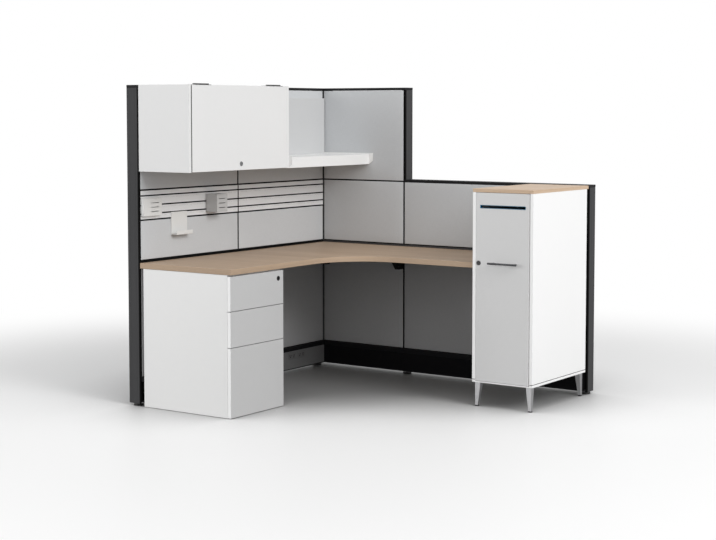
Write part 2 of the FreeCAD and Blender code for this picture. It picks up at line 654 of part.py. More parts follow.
def worktopBrackets():
    """Three cantilevers, a cleat on the tower's side and four pads on the pedestal."""
    pieces = [
        cantilever("bracket_left_seam", "left", "(baySeam + slotInset)", 1),
        cantilever("bracket_corner", "left", "slotInset", 1),
        cantilever("bracket_back_seam", "back", "(highRun - slotInset)", -1),
    ]
    cleatY = ("-(deskDepth - cleatWide)", "-cleatSetback")
    upright = block("cleat_upright", ("towerLeft - bracketSheet", "towerLeft"), cleatY,
                    (deskUnder + " - cleatHigh", deskUnder))
    flat = block("cleat_flat", ("towerLeft - bracketSheet - cleatWide", "towerLeft - bracketSheet"), cleatY,
                 (deskUnder + " - bracketSheet", deskUnder))
    pieces.append(fuse("worktop_cleat", [upright, flat]))
    for x in ("pedBack + padInset", "pedFront - padInset"):
        for y in ("-pedFar + padInset", "-pedNear - padInset"):
            pieces.append(rod("desk_pad_" + str(len(pieces)), "padRadius", less("pedHigh", deskUnder), x, y,
                              "pedHigh"))
    node("worktop_brackets", pieces)


worktopBrackets()

# Overhead cabinet
overFar = "(-overLeft)"
overNear = "(overWide - overLeft)"
flapFar = "(" + overFar + " + overBoard + flapGapSide)"
flapNear = "(" + overNear + " - overBoard - flapGapSide)"
overMiddle = "(overWide / 2 - overLeft)"
insideY = (overFar + " + overBoard", overNear + " - overBoard")
caseFront = "(overDeep - overBoard - flapBackGap)"
overLockZ = "(overLow + overLockRise)"
camBack = "(overDeep - 2 * overBoard)"
strikeX = camBack + " + camThick + strikeGap"
node("overhead_case", [
    block("over_side_far", ("0", "overDeep"), (overFar, overFar + " + overBoard"), ("overLow", "overHigh")),
    block("over_side_near", ("0", "overDeep"), (overNear + " - overBoard", overNear), ("overLow",
                                                                                       "overHigh")),
    block("over_top", ("overBack", caseFront), insideY, ("overHigh - overBoard", "overHigh")),
    block("over_bottom", ("overBack", caseFront), insideY, ("overLow", "overLow + overBoard")),
    block("over_back", ("0", "overBack"), insideY, ("overLow", "overHigh")),
    block("over_strike", (strikeX, strikeX + " + strikeThick"),
          (overMiddle + " - strikeWide / 2", overMiddle + " + strikeWide / 2"),
          ("overLow + overBoard", "overLow + overBoard + strikeHigh"))])

overHooks = []
for number, column in enumerate(("(leftEnd - slotInset)", "(baySeam + slotInset)")):
    for end, target in (("low", "overLow + 2 * slotPitch"), ("high", "overHigh - 3 * slotPitch")):
        name = "over_hook_" + end + str(number)
        overHooks.append(fuse(name, hook(name, "left", column, slotLevel("(" + target + ")"))))
node("overhead_hooks", overHooks)

hingeX = "(overDeep - overBoard - flapBackGap / 2)"
hingeZ = "(overHigh + barrelRadius + barrelLift)"
flapTop = "overHigh - flapGap"
flap = block("flap_board", ("overDeep - overBoard", "overDeep"), (flapFar, flapNear), ("overLow + flapGap",
                                                                                       flapTop))
flapHole = rod("flap_hole", "lockRadius + lockPlay", "overBoard + 2 * flapGap",
               "overDeep - overBoard - flapGap",
               overMiddle, overLockZ, Vector(1, 0, 0))
node("overhead_door", [cut("flap", flap, [flapHole])])


def flapHinge(name, middle):
    """Half a butt hinge's knuckles with the pin and the fixed leaf, and the other half with the moving leaf."""
    start = middle + " - hingeLong / 2"
    step = "hingeLong / 5"
    fixed = []
    moving = []
    bores = []
    leafZ = ("overHigh", "overHigh + leafThick")
    flapZ = (flapTop, "overHigh + barrelLift + pinPlay")
    for knuckle in range(5):
        low = start + " + " + str(knuckle) + " * " + step + " + knuckleGap / 2"
        label = name + "_knuckle_" + str(knuckle)
        barrel = rod(label, "barrelRadius", step + " - knuckleGap", hingeX, low, hingeZ, Vector(0, 1, 0))
        span = (low, low + " + " + step + " - knuckleGap")
        if knuckle % 2 == 0:
            fixed.append(barrel)
            fixed.append(block(label + "_leaf", (hingeX + " - barrelRadius - leafGap", hingeX), span,
                               leafZ))
        else:
            moving.append(barrel)
            moving.append(block(label + "_leaf", (hingeX, hingeX + " + barrelRadius + leafGap"), span,
                                (flapTop, hingeZ)))
            bores.append(rod(label + "_bore", "pinRadius + pinPlay", step, hingeX,
                             low + " - knuckleGap / 2", hingeZ,
                             Vector(0, 1, 0)))
    whole = (start, start + " + hingeLong")
    fixed.append(block(name + "_leaf_fixed", (hingeX + " - barrelRadius - leafGap - leafLong",
                                              hingeX + " - barrelRadius - leafGap"),
                       whole, leafZ))
    fixed.append(rod(name + "_pin", "pinRadius", "hingeLong", hingeX, start, hingeZ, Vector(0, 1, 0)))
    moving.append(block(name + "_leaf_moving", (hingeX + " + barrelRadius + leafGap", "overDeep"), whole,
                        flapZ))
    return fuse(name + "_fixed", fixed), cut(name + "_moving", fuse(name + "_moving_whole", moving), bores)


hinges = [flapHinge("flap_hinge_far", "(" + overMiddle + " - hingeSpread / 2)"),
          flapHinge("flap_hinge_near", "(" + overMiddle + " + hingeSpread / 2)")]
node("overhead_hinge_fixed", [pair[0] for pair in hinges])
node("overhead_hinge_moving", [pair[1] for pair in hinges])


def lockBody(name, point, start, thickness, axis):
    """A barrel, its face and its keyway; start is behind the board, along the axis."""
    x, y, z = point
    direction = Vector(1, 0, 0) if axis == "x" else Vector(0, -1, 0)
    sign = " + " if axis == "x" else " - "
    main = x if axis == "x" else y

    def spot(distance):
        value = "(" + main + sign + "(" + distance + "))"
        return (value, y, z) if axis == "x" else (x, value, z)

    barrel = rod(name + "_barrel", "lockRadius", start + " + " + thickness, *spot("-(" + start + ")"),
                 direction)
    face = rod(name + "_face", "lockFace", "lockProud", *spot(thickness), direction)
    return [barrel, face]


overCam = block("over_cam", (camBack, camBack + " + camThick"), (overMiddle + " - camWide / 2",
                                                                 overMiddle + " + camLong"),
                (overLockZ + " - camWide / 2", overLockZ + " + camWide / 2"))
keyOver = block("over_key", ("overDeep + lockProud / 2", "overDeep + 2 * lockProud"),
                (overMiddle + " - lockPlay * 2", overMiddle + " + lockPlay * 2"),
                (overLockZ + " - camWide / 3", overLockZ + " + camWide / 3"))
node("overhead_lock", [cut("over_lock", fuse("over_lock_whole", lockBody(
    "over_lock_body", ("overDeep - overBoard", overMiddle, overLockZ), "overBoard", "overBoard",
    "x") + [overCam]),
    [keyOver])])

# Open shelf
plateNear = ("-(slotInset + hookThick / 2)", "-(slotInset + hookThick / 2 - shelfPlate)")
plateFar = (overNear, overNear + " + shelfPlate")
panY = (plateFar[1], plateNear[0])
node("shelf_pan", [fuse("shelf_folded", [
    block("shelf_deck", ("0", "shelfDeep"), panY, ("shelfDeck - shelfSheet", "shelfDeck")),
    block("shelf_lip", ("shelfDeep - shelfSheet", "shelfDeep"), panY, ("shelfLow", "shelfDeck")),
    block("shelf_return", ("shelfDeep - shelfBackLip", "shelfDeep"), panY, ("shelfLow",
                                                                            "shelfLow + shelfSheet")),
    block("shelf_rear", ("0", "shelfSheet"), panY, ("shelfDeck - shelfBackLip", "shelfDeck"))])])
node("shelf_back", [block("shelf_panel", ("0", "shelfBackThick"), panY, ("shelfDeck", "shelfBackTop"))])


def shelfBracket(name, y):
    body = doc.addObject("PartDesign::Body", name + "_body")
    sketch = outline(body, name + "_outline", "XZ_Plane", [
        ("0", "0"), ("shelfDeep", "0"), ("noseReach", "noseLow - shelfLow"), ("noseReach",
                                                                              "noseHigh - shelfLow"),
        ("0", "noseHigh - shelfLow")])
    pad(body, name + "_pad", sketch, "shelfPlate").Reversed = True
    place(body, "0", y, "shelfLow")
    return body


nearPlate = shelfBracket("shelf_plate_near", "(" + plateNear[0] + ")")
nearHooks = (hook("shelf_hook_low", "left", "slotInset", slotLevel("(shelfLow + slotPitch)"))
             + hook("shelf_hook_high", "left", "slotInset",
                    slotLevel("(noseHigh - hookNeck - 2 * hookRise)")))
node("shelf_brackets", [fuse("shelf_bracket_near", [nearPlate] + nearHooks),
                        shelfBracket("shelf_plate_far", "(" + plateFar[0] + ")")])


# Accessories that hang on the slats
def clips(name, groove, along):
    """Clips that reach through a groove and drop behind its lower lip."""
    low = "(" + groove + " - grooveHigh / 2 + clipPlay)"
    tipX = ("-(lipThick + clipPlay + clipThick)", "-(lipThick + clipPlay)")
    pieces = []
    for number, middle in enumerate(along):
        y = (middle + " - clipWide / 2", middle + " + clipWide / 2")
        label = name + "_clip_" + str(number)
        pieces.append(block(label + "_neck", (tipX[0], "accessoryGap"), y, (low, low + " + clipThick")))
        pieces.append(block(label + "_tip", tipX, y, (low + " - lipHigh + clipPlay", low + " + clipThick")))
    return pieces


faceX = "accessoryGap"
backX = ("accessoryGap", "accessoryGap + accessorySheet")


def slits(name, x, y, z):
    """Three level slits, stacked at the quarters of a height."""
    pieces = []
    for number in (1, 2, 3):
        middle = "(" + z[0] + ") + " + str(number) + " * ((" + z[1] + ") - (" + z[0] + ")) / 4"
        pieces.append(block(name + str(number), x, y, (middle + " - slitHigh / 2", middle + " + slitHigh / 2")))
    return pieces


def messageHolder():
    """A shallow pocket, open at the top, with three slits in its front."""
    y = ("(-holderFar)", "(-holderNear)")
    outX = "accessoryGap + accessorySheet"
    frontX = (outX + " + pocketDeep - pocketSheet", outX + " + pocketDeep")
    insideX = (outX, frontX[0])
    frontZ = ("holderLow", "holderHigh - pocketDrop")
    sideZ = ("holderLow + pocketSheet", frontZ[1])
    windows = slits("holder_slit_", (outX, outX + " + 2 * pocketDeep"),
                    (y[0] + " + holderWide * holderSlitFarShare", y[1] + " - holderWide * holderSlitNearShare"),
                    frontZ)
    node("message_holder", [
        block("holder_plate", backX, y, ("holderLow", "holderHigh")),
        cut("holder_front_slit", block("holder_front", frontX, y, frontZ), windows),
        block("holder_floor", insideX, y, ("holderLow", sideZ[0])),
        block("holder_side_far", insideX, (y[0], y[0] + " + pocketSheet"), sideZ),
        block("holder_side_near", insideX, (y[1] + " - pocketSheet", y[1]), sideZ),
        fuse("holder_clips", clips("holder", "slatGrooveB", (y[0] + " + clipWide", y[1] + " - clipWide")))])


messageHolder()

ledgeY = ("-ledgeFar", "-ledgeNear")
ledgeTopZ = "(slatGrooveC - grooveHigh / 2 + clipPlay + clipThick)"
node("tablet_ledge", [
    block("ledge_back", ("accessoryGap", "accessoryGap + ledgeSheet"), ledgeY, ("ledgeLow", ledgeTopZ)),
    block("ledge_deck", ("accessoryGap + ledgeSheet", "ledgeDeep"), ledgeY, ("ledgeLow",
                                                                             "ledgeLow + ledgeSheet")),
    block("ledge_lip", ("ledgeDeep - ledgeSheet", "ledgeDeep"), ledgeY, ("ledgeLow + ledgeSheet",
                                                                         "ledgeLow + ledgeLip")),
    fuse("ledge_clips", clips("ledge", "slatGrooveC", ("(-ledgeFar + clipWide)",
                                                       "(-ledgeNear - clipWide)")))])


def penCup():
    y0, y1 = "(-cupFar)", "(-cupNear)"
    z = ("cupLow + cupWall", "cupHigh")
    front = block("cup_front", ("cupOff + cupDeep - cupWall", "cupOff + cupDeep"), (y0, y1), ("cupLow",
                                                                                              "cupHigh"))
    windows = slits("cup_slit_", ("cupOff + cupDeep - 2 * cupWall", "cupOff + cupDeep + cupWall"),
                    (y0 + " + cupWide * cupSlitShare", y1 + " - cupWide * cupSlitShare"),
                    ("cupLow", "cupHigh"))
    inner = ("cupOff + cupWall", "cupOff + cupDeep - cupWall")
    node("pen_cup", [
        cut("cup_front_slit", front, windows),
        block("cup_floor", ("cupOff", inner[1]), (y0, y1), ("cupLow", "cupLow + cupWall")),
        block("cup_side_far", inner, (y0, y0 + " + cupWall"), z),
        block("cup_side_near", inner, (y1 + " - cupWall", y1), z),
        block("cup_back", ("cupOff", "cupOff + cupWall"), (y0, y1), z),
        fuse("cup_clips", clips("cup", "slatGrooveB", (y0 + " + clipWide", y1 + " - clipWide"))
             + [block("cup_mount", ("accessoryGap", "cupOff"), (y0 + " + clipWide / 2",
                                                                y1 + " - clipWide / 2"),
                      ("slatGrooveB - grooveHigh / 2 + clipPlay", "cupHigh"))])])


penCup()

# Pedestal
pedY = ("(-pedFar)", "(-pedNear)")
pedInY = ("(-pedFar + pedBoard)", "(-pedNear - pedBoard)")
pedZ = ("(pedLow + pedBoard)", "(pedHigh - pedBoard)")
pads = []
for x in ("pedBack + padInset", "pedFront - padInset"):
    for y in ("-pedFar + padInset", "-pedNear - padInset"):
        pads.append(rod("ped_pad_" + str(len(pads)), "padRadius", "pedLow", x, y, "0"))
node("pedestal_case", [
    block("ped_side_far", ("pedBack", "pedFront"), (pedY[0], pedInY[0]), ("pedLow", "pedHigh")),
    block("ped_side_near", ("pedBack", "pedFront"), (pedInY[1], pedY[1]), ("pedLow", "pedHigh")),
    block("ped_top", ("pedBack", "pedFront"), pedInY, (pedZ[1], "pedHigh")),
    block("ped_bottom", ("pedBack", "pedFront"), pedInY, ("pedLow", pedZ[0])),
    block("ped_back", ("pedBack", "pedBack + pedBoard"), pedInY, pedZ)] + pads)

frontX = ("(pedFront + pedFrontGap)", "(pedFront + pedFrontGap + pedFrontThick)")
drawers = {
    "top": {"low": "(seamHigh + seamHalf)", "high": "(pedHigh - frontHighGap)",
            "fall": "(boxFall + boxFall / 2)"},
    "middle": {"low": "(seamLow + seamHalf)", "high": "(seamHigh - seamHalf)", "fall": "boxFall"},
    "file": {"low": "(pedLow + frontLowGap)", "high": "(seamLow - seamHalf)", "fall": "boxFall"},
}
boxY = ("(-pedFar + pedBoard + runnerWide + runnerPlay)", "(-pedNear - pedBoard - runnerWide - runnerPlay)")
runnerStart = "(pedBack + runnerBack)"
pedLockY = "(-pedNear - pedLockIn)"
pedLockZ = "(pedHigh - pedLockDrop)"
barX = ("(pedFront - barSetback - barWide)", "(pedFront - barSetback)")


def runnerZ(drawer):
    middle = drawer["low"] + " + boxLift + boxRunnerRise"
    return middle + " - runnerHigh / 2", middle + " + runnerHigh / 2"


def member(name, drawer, side, order):
    """One flat telescopic member; order 0 is on the case, 1 is the middle one, 2 is on the box."""
    inset = str(order) + " * (runnerWide - runnerMember) / 2"
    x = (runnerStart + " + " + str(order) + " * runnerStep",
         runnerStart + " + " + str(order) + " * runnerStep + runnerLong")
    trim = str(order) + " * runnerMember / 2"
    low, high = runnerZ(drawer)
    z = (low + " + " + trim, high + " - " + trim)
    if side == "far":
        start = pedInY[0] + " + " + inset
        if order == 2:
            return block(name, x, (boxY[0] + " - runnerMember", boxY[0]), z)
        return block(name, x, (start, start + " + runnerMember"), z)
    start = pedInY[1] + " - " + inset
    if order == 2:
        return block(name, x, (boxY[1], boxY[1] + " + runnerMember"), z)
    return block(name, x, (start + " - runnerMember", start), z)


fixedMembers = []
for key, drawer in drawers.items():
    front = block("front_board_" + key, frontX, pedY, (drawer["low"], drawer["high"]))
    if key == "top":
        front = cut("front_drilled", front, [rod("front_hole", "lockRadius + lockPlay", "3 * pedFrontThick",
                                                 frontX[0] + " - pedFrontThick", pedLockY, pedLockZ,
                                                 Vector(1, 0, 0))])
    node("drawer_front_" + key, [front])
    low = "(" + drawer["low"] + " + boxLift)"
    high = "(" + drawer["high"] + " - " + drawer["fall"] + ")"
    x = (runnerStart + " - boxBack", frontX[0])
    wallZ = (low + " + boxSheet", high)
    innerX = (x[0] + " + boxSheet", x[1])
    catchZ = runnerZ(drawer)[1] + " + catchRise"
    catch = block("box_catch_" + key, (barX[0] + " - catchPlay - catchThick", barX[0] + " - catchPlay"),
                  (boxY[1], boxY[1] + " + catchWide"), (catchZ, catchZ + " + catchHigh"))
    pieces = [
        block("box_floor_" + key, x, boxY, (low, low + " + boxSheet")),
        block("box_back_" + key, (x[0], innerX[0]), boxY, wallZ),
        block("box_far_" + key, innerX, (boxY[0], boxY[0] + " + boxSheet"), wallZ),
        block("box_near_" + key, innerX, (boxY[1] + " - boxSheet", boxY[1]), wallZ),
        block("box_inner_front_" + key, (x[1] + " - boxSheet", x[1]), (boxY[0] + " + boxSheet",
                                                                       boxY[1] + " - boxSheet"),
              wallZ),
        catch,
    ]
    for side in ("far", "near"):
        fixedMembers.append(member("member_fixed_" + side + "_" + key, drawer, side, 0))
        pieces.append(member("member_box_" + side + "_" + key, drawer, side, 2))
    node("drawer_box_" + key, pieces)
    node("runner_mid_" + key, [member("member_mid_" + side + "_" + key, drawer, side, 1) for side in ("far",
                                                                                                      "near")])
node("runner_fixed", fixedMembers)

# Gang lock: the cam lifts the bar's drive tab, and the bar's tabs rise in front of the drawers' catches
barY = (pedInY[1] + " - barInset - barThick", pedInY[1] + " - barInset")
barPieces = [block("bar_strip", barX, barY, (pedZ[0] + " + barFoot", pedZ[1] + " - barHead - barLift"))]
for key, drawer in drawers.items():
    level = runnerZ(drawer)[1] + " + catchRise - tabDrop"
    barPieces.append(block("bar_tab_" + key, (barX[0], barX[0] + " + tabLong"),
                           (boxY[1] + " + pedFrontGap", barY[0]), (level + " - catchHigh", level)))
driveZ = "(" + pedLockZ + " - driveDrop)"
barPieces.append(block("bar_drive", (barX[0] + " + tabLong", barX[1] + " - 3 * pedFrontGap / 2"),
                       (pedLockY + " + driveGap", barY[0]), (driveZ, driveZ + " + driveTab")))
node("lock_bar", barPieces)
pedCam = block("ped_cam", (barX[1] + " - camThick - pedFrontGap", barX[1] + " - pedFrontGap"),
               (pedLockY + " - camWide / 2", pedLockY + " + camWide / 2"),
               (pedLockZ + " - camLong", pedLockZ + " + camWide / 2"))
keyPed = block("ped_key", (frontX[1] + " + lockProud / 2", frontX[1] + " + 2 * lockProud"),
               (pedLockY + " - lockPlay * 2", pedLockY + " + lockPlay * 2"),
               (pedLockZ + " - camWide / 3", pedLockZ + " + camWide / 3"))
pedBarrel = "(" + frontX[0] + " - " + barX[1] + " + pedFrontGap)"
node("pedestal_lock", [cut("ped_lock", fuse("ped_lock_whole", lockBody(
    "ped_lock_body", (frontX[0], pedLockY, pedLockZ), pedBarrel, "pedFrontThick", "x")), [keyPed]), pedCam])

fileTop = "(" + drawers["file"]["high"] + " - " + drawers["file"]["fall"] + ")"
railX = (runnerStart + " - boxBack + boxSheet", frontX[0] + " - boxSheet")
node("file_rails", [
    block("file_rail_far", railX, (boxY[0] + " + fileRailIn", boxY[0] + " + fileRailIn + fileRailThick"),
          (fileTop + " - fileRailHigh", fileTop)),
    block("file_rail_near", railX, (boxY[1] + " - fileRailIn - fileRailThick", boxY[1] + " - fileRailIn"),
          (fileTop + " - fileRailHigh", fileTop))])

trayX = (frontX[0] + " - boxSheet - trayDeep", frontX[0] + " - boxSheet")
trayY = (boxY[0] + " + boxSheet", boxY[1] + " - boxSheet")
trayLow = "(" + drawers["top"]["low"] + " + boxLift + trayLift)"
trayWallZ = (trayLow + " + trayWall", trayLow + " + trayHigh")
trayInX = (trayX[0] + " + trayWall", trayX[1] + " - trayWall")
trayPieces = [
    block("tray_floor", trayX, trayY, (trayLow, trayWallZ[0])),
    block("tray_rear", (trayX[0], trayInX[0]), trayY, trayWallZ),
    block("tray_fore", (trayInX[1], trayX[1]), trayY, trayWallZ),
    block("tray_far", trayInX, (trayY[0], trayY[0] + " + trayWall"), trayWallZ),
    block("tray_near", trayInX, (trayY[1] + " - trayWall", trayY[1]), trayWallZ),
    block("tray_divider", trayInX, ("(" + trayY[0] + " + 2 * " + trayY[1] + ") / 3",
                                    "(" + trayY[0] + " + 2 * " + trayY[1] + ") / 3 + trayWall"), trayWallZ)]
node("pencil_tray", trayPieces)

# Storage tower
towerX = ("towerLeft", "(towerLeft + towerWide)")
towerInX = ("(towerLeft + towerBoard)", "(towerLeft + towerWide - towerBoard)")
doorFront = "(-towerFront)"
doorBack = "(-towerFront + doorThick)"
caseY = ("(" + doorBack + " + doorGap)", "(-towerBack)")
baseTop = "(towerLow + baseHigh)"
sideZ = ("(towerLow + baseHigh + baseSeam)", "(towerTop - topThick)")
backY = ("(-towerBack - towerBackThick)", "(-towerBack)")
towerLockX = "(towerLeft + towerLockIn)"
camY = "(" + doorBack + " + towerCamGap)"
node("tower_case", [
    block("tower_side_far", (towerX[0], towerInX[0]), (doorFront, caseY[1]), sideZ),
    block("tower_side_near", (towerInX[1], towerX[1]), (doorFront, caseY[1]), sideZ),
    block("tower_back", towerInX, backY, sideZ),
    block("tower_ceiling", towerInX, (caseY[0], backY[0]), (sideZ[1] + " - towerBoard", sideZ[1])),
    fuse("tower_base", [
        block("tower_base_board", towerX, caseY, ("towerLow", baseTop)),
        block("tower_base_seam", (towerX[0] + " + baseSeamDeep", towerX[1] + " - baseSeamDeep"), caseY,
              (baseTop, sideZ[0])),
        block("tower_base_far", (towerX[0], towerInX[0]), (doorFront, caseY[0]), ("towerLow", baseTop)),
        block("tower_base_near", (towerInX[1], towerX[1]), (doorFront, caseY[0]), ("towerLow", baseTop)),
        block("tower_base_lip", towerInX, (doorFront, caseY[0]), ("towerLow", "towerLow + baseLip"))]),
    block("tower_catch", (towerInX[0], towerInX[0] + " + catchReach"),
          (camY + " - catchPlate - pedFrontGap", camY + " - pedFrontGap"),
          ("towerLockLevel - catchTall / 2", "towerLockLevel + catchTall / 2"))])
topBody = block("tower_slab", towerX, (doorFront, "-topBack"), ("towerTop - topThick", "towerTop"))
node("tower_top", [topBody])
doorX = (towerInX[0] + " + doorSide", towerInX[1] + " - doorHingeSide")
doorZ = ("(towerLow + baseLip + doorGap)", "(towerTop - topThick - doorGap)")
pivotX = "(" + doorX[1] + " - pivotInset)"
pivotY = "((" + doorFront + " + " + doorBack + ") / 2)"
mailX = ("(towerLeft + towerWide / 2 - mailWide / 2)", "(towerLeft + towerWide / 2 + mailWide / 2)")
mailZ = ("mailLow", "mailLow + mailHigh")
doorTools = [
    block("mail_hole", mailX, (doorFront + " - doorGap", doorBack + " + doorGap"), mailZ),
    rod("tower_lock_hole", "lockRadius + lockPlay", "3 * doorThick", towerLockX, doorBack + " + doorThick",
        "towerLockLevel", Vector(0, -1, 0)),
    rod("pivot_bore_low", "pivotRadius + bushWall", "pivotLong", pivotX, pivotY, doorZ[0]),
    rod("pivot_bore_high", "pivotRadius + bushWall", "pivotLong", pivotX, pivotY,
        doorZ[1] + " - pivotLong"),
]
doorBoard = block("door_board", doorX, (doorFront, doorBack), doorZ)
node("tower_door", [cut("tower_door_cut", doorBoard, doorTools)])


def bush(name, z):
    outer = rod(name + "_outer", "pivotRadius + bushWall", "pivotLong", pivotX, pivotY, z)
    inner = rod(name + "_inner", "pivotRadius + pivotPlay", "3 * pivotLong", pivotX, pivotY,
                z + " - pivotLong")
    return cut(name, outer, [inner])


node("tower_door_bushes", [bush("bush_low", doorZ[0]), bush("bush_high", doorZ[1] + " - pivotLong")])


def pivot(name, plateZ, pinZ):
    plate = block(name + "_plate", (pivotX + " - pivotPlateWide / 2", pivotX + " + pivotPlateWide / 2"),
                  (pivotY + " - pivotPlateWide / 2", pivotY + " + pivotPlateWide / 2"), plateZ)
    pin = rod(name + "_pin", "pivotRadius", less(*pinZ), pivotX, pivotY, pinZ[0])
    return fuse(name, [plate, pin])


node("tower_pivots", [
    pivot("pivot_low", ("towerLow + baseLip", "towerLow + baseLip + pivotPlate"),
          ("towerLow + baseLip", doorZ[0] + " + pivotLong - doorGap")),
    pivot("pivot_high", (sideZ[1] + " - pivotPlate", sideZ[1]),
          (doorZ[1] + " - pivotLong + doorGap", sideZ[1]))])

mailOuter = block("mail_outer", mailX, (doorFront + " - mailProud", doorFront + " - mailProud + mailDeep"),
                  mailZ)
mailInner = block("mail_inner", (mailX[0] + " + mailWall", mailX[1] + " - mailWall"),
                  (doorFront + " - 2 * mailDeep", doorFront + " + 2 * mailDeep"),
                  (mailZ[0] + " + mailWall", mailZ[1] + " - mailWall"))
node("mail_slot", [cut("mail_liner", mailOuter, [mailInner])])

gripY = "(" + doorFront + " - gripReach)"
grip = [rod("grip_bar", "gripRadius", "gripLong", "gripMiddle - gripLong / 2", gripY, "gripLevel", Vector(1,
                                                                                                          0,
                                                                                                          0))]
for side in ("-", "+"):
    grip.append(rod("grip_post_" + str(len(grip)), "gripRadius", "gripReach",
                    "gripMiddle " + side + " gripPosts / 2",
                    doorFront, "gripLevel", Vector(0, -1, 0)))
node("tower_handle", [fuse("grip", grip)])

towerCam = block("tower_cam", (towerLockX + " - camWide / 2", towerLockX + " + camWide / 2"),
                 (camY, camY + " + camThick"), ("towerLockLevel - camWide / 2", "towerLockLevel + camLong"))
keyTower = block("tower_key", (towerLockX + " - lockPlay * 2", towerLockX + " + lockPlay * 2"),
                 (doorFront + " - 2 * lockProud", doorFront + " - lockProud / 2"),
                 ("towerLockLevel - camWide / 3", "towerLockLevel + camWide / 3"))
node("tower_lock", [cut("tower_lock_cut", fuse("tower_lock_whole", lockBody(
    "tower_lock_body", (towerLockX, doorBack, "towerLockLevel"), "towerCamGap + camThick", "doorThick", "y")
    + [towerCam]), [keyTower])])

shelfX = (towerInX[0] + " + towerShelfGap / 2", towerInX[1] + " - towerShelfGap / 2")
node("tower_shelves", [
    block("tower_shelf_" + level, shelfX, (caseY[0] + " + towerStep", backY[0] + " - towerShelfGap / 2"),
          (level, level + " + towerBoard")) for level in ("shelfLevelLow", "shelfLevelHigh")])


def leg(name, x, y, turn):
    """A square leg whose two outer faces are upright and whose inner faces taper, on a flat pad."""
    wedge = doc.addObject("Part::Wedge", name + "_taper")
    bind(wedge, Xmin="0", Ymin="0", Zmin="0", Xmax="legTip", Zmax="legTip", Ymax="legHigh",
         X2min="0", Z2min="0", X2max="legTop", Z2max="legTop")
    stand = FreeCAD.Rotation(Vector(1, 0, 0), 90)
    wedge.Placement = FreeCAD.Placement(Vector(), FreeCAD.Rotation(Vector(0, 0, 1), turn) * stand)
    place(wedge, x, y, "legPad")
    return wedge


legs = []
legSpots = (
    (towerX[0] + " + legInset", doorFront + " + legInset", 90, ("0", "legTip"), ("0", "legTip")),
    (towerX[1] + " - legInset", doorFront + " + legInset", 180, ("-legTip", "0"), ("0", "legTip")),
    (towerX[1] + " - legInset", "(-towerBack) - legInset", 270, ("-legTip", "0"), ("-legTip", "0")),
    (towerX[0] + " + legInset", "(-towerBack) - legInset", 0, ("0", "legTip"), ("-legTip", "0")),
)
for number, (x, y, turn, padX, padY) in enumerate(legSpots):
    legs.append(leg("leg_" + str(number), x, y, turn))
    legs.append(block("leg_pad_" + str(number), (x + " + " + padX[0], x + " + " + padX[1]),
                      (y + " + " + padY[0], y + " + " + padY[1]), ("0", "legPad")))
node("tower_legs", legs)

# Check and write
doc.recompute()
faults = []
for item in doc.Objects:
    if "Invalid" in item.State or "Error" in item.State:
        faults.append(item.Name + " " + str(item.State))
for name, item in nodes.items():
    if item.Shape.isNull() or not item.Shape.isValid() or not item.Shape.Solids:
        faults.append(name + " has no valid solid")
if faults:
    raise SystemExit("failed: " + ", ".join(faults))

os.makedirs("parts", exist_ok=True)
for name, item in nodes.items():
    item.Shape.exportStep("parts/" + name + ".step")
print(len(nodes), "nodes", sum(len(item.Shape.Solids) for item in nodes.values()), "solids")
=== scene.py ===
import json
import math
import bmesh
import bpy
import numpy as np
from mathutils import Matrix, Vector

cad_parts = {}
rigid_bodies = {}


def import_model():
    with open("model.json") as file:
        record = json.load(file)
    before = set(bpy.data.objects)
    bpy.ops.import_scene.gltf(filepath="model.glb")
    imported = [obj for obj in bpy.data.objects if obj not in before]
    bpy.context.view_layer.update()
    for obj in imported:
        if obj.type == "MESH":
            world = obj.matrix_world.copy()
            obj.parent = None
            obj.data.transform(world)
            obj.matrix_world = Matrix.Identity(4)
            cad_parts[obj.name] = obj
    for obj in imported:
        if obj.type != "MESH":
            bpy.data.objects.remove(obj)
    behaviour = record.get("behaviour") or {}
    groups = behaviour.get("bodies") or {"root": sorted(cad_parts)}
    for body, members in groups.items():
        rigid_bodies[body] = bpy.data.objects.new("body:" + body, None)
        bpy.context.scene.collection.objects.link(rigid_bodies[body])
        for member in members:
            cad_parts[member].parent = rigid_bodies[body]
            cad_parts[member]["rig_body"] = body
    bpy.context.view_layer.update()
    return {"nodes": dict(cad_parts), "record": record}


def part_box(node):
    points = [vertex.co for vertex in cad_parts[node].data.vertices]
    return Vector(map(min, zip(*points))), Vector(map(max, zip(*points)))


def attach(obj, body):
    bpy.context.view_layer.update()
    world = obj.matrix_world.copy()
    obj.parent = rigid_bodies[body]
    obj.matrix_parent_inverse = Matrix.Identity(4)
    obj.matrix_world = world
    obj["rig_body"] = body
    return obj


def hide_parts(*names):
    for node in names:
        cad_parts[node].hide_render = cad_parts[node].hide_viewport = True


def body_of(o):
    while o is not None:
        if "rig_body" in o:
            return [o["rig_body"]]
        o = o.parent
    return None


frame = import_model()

nodes = frame["nodes"]
slotOf = {part["node"]: part["material_slot"] for part in frame["record"]["subparts"]}
print("frame loaded:", len(nodes), "nodes")


# shading nodes
def addNode(tree, kind, inputs=(), **settings):
    # an input goes by its name or number, and one that is another node's socket is linked
    node = tree.nodes.new(kind)
    for key, value in settings.items():
        setattr(node, key, value)
    for key, value in dict(inputs).items():
        if isinstance(value, bpy.types.NodeSocket):
            tree.links.new(value, node.inputs[key])
        else:
            node.inputs[key].default_value = value
    return node


def link(tree, sockets, values):
    for key, value in values.items():
        tree.links.new(value, sockets[key])


def maths(tree, operation, a, b=0.0, clamp=False):
    return addNode(tree, "ShaderNodeMath", {0: a, 1: b}, operation=operation, use_clamp=clamp).outputs[0]


def vectorMaths(tree, operation, inputs, output="Vector"):
    return addNode(tree, "ShaderNodeVectorMath", inputs, operation=operation).outputs[output]


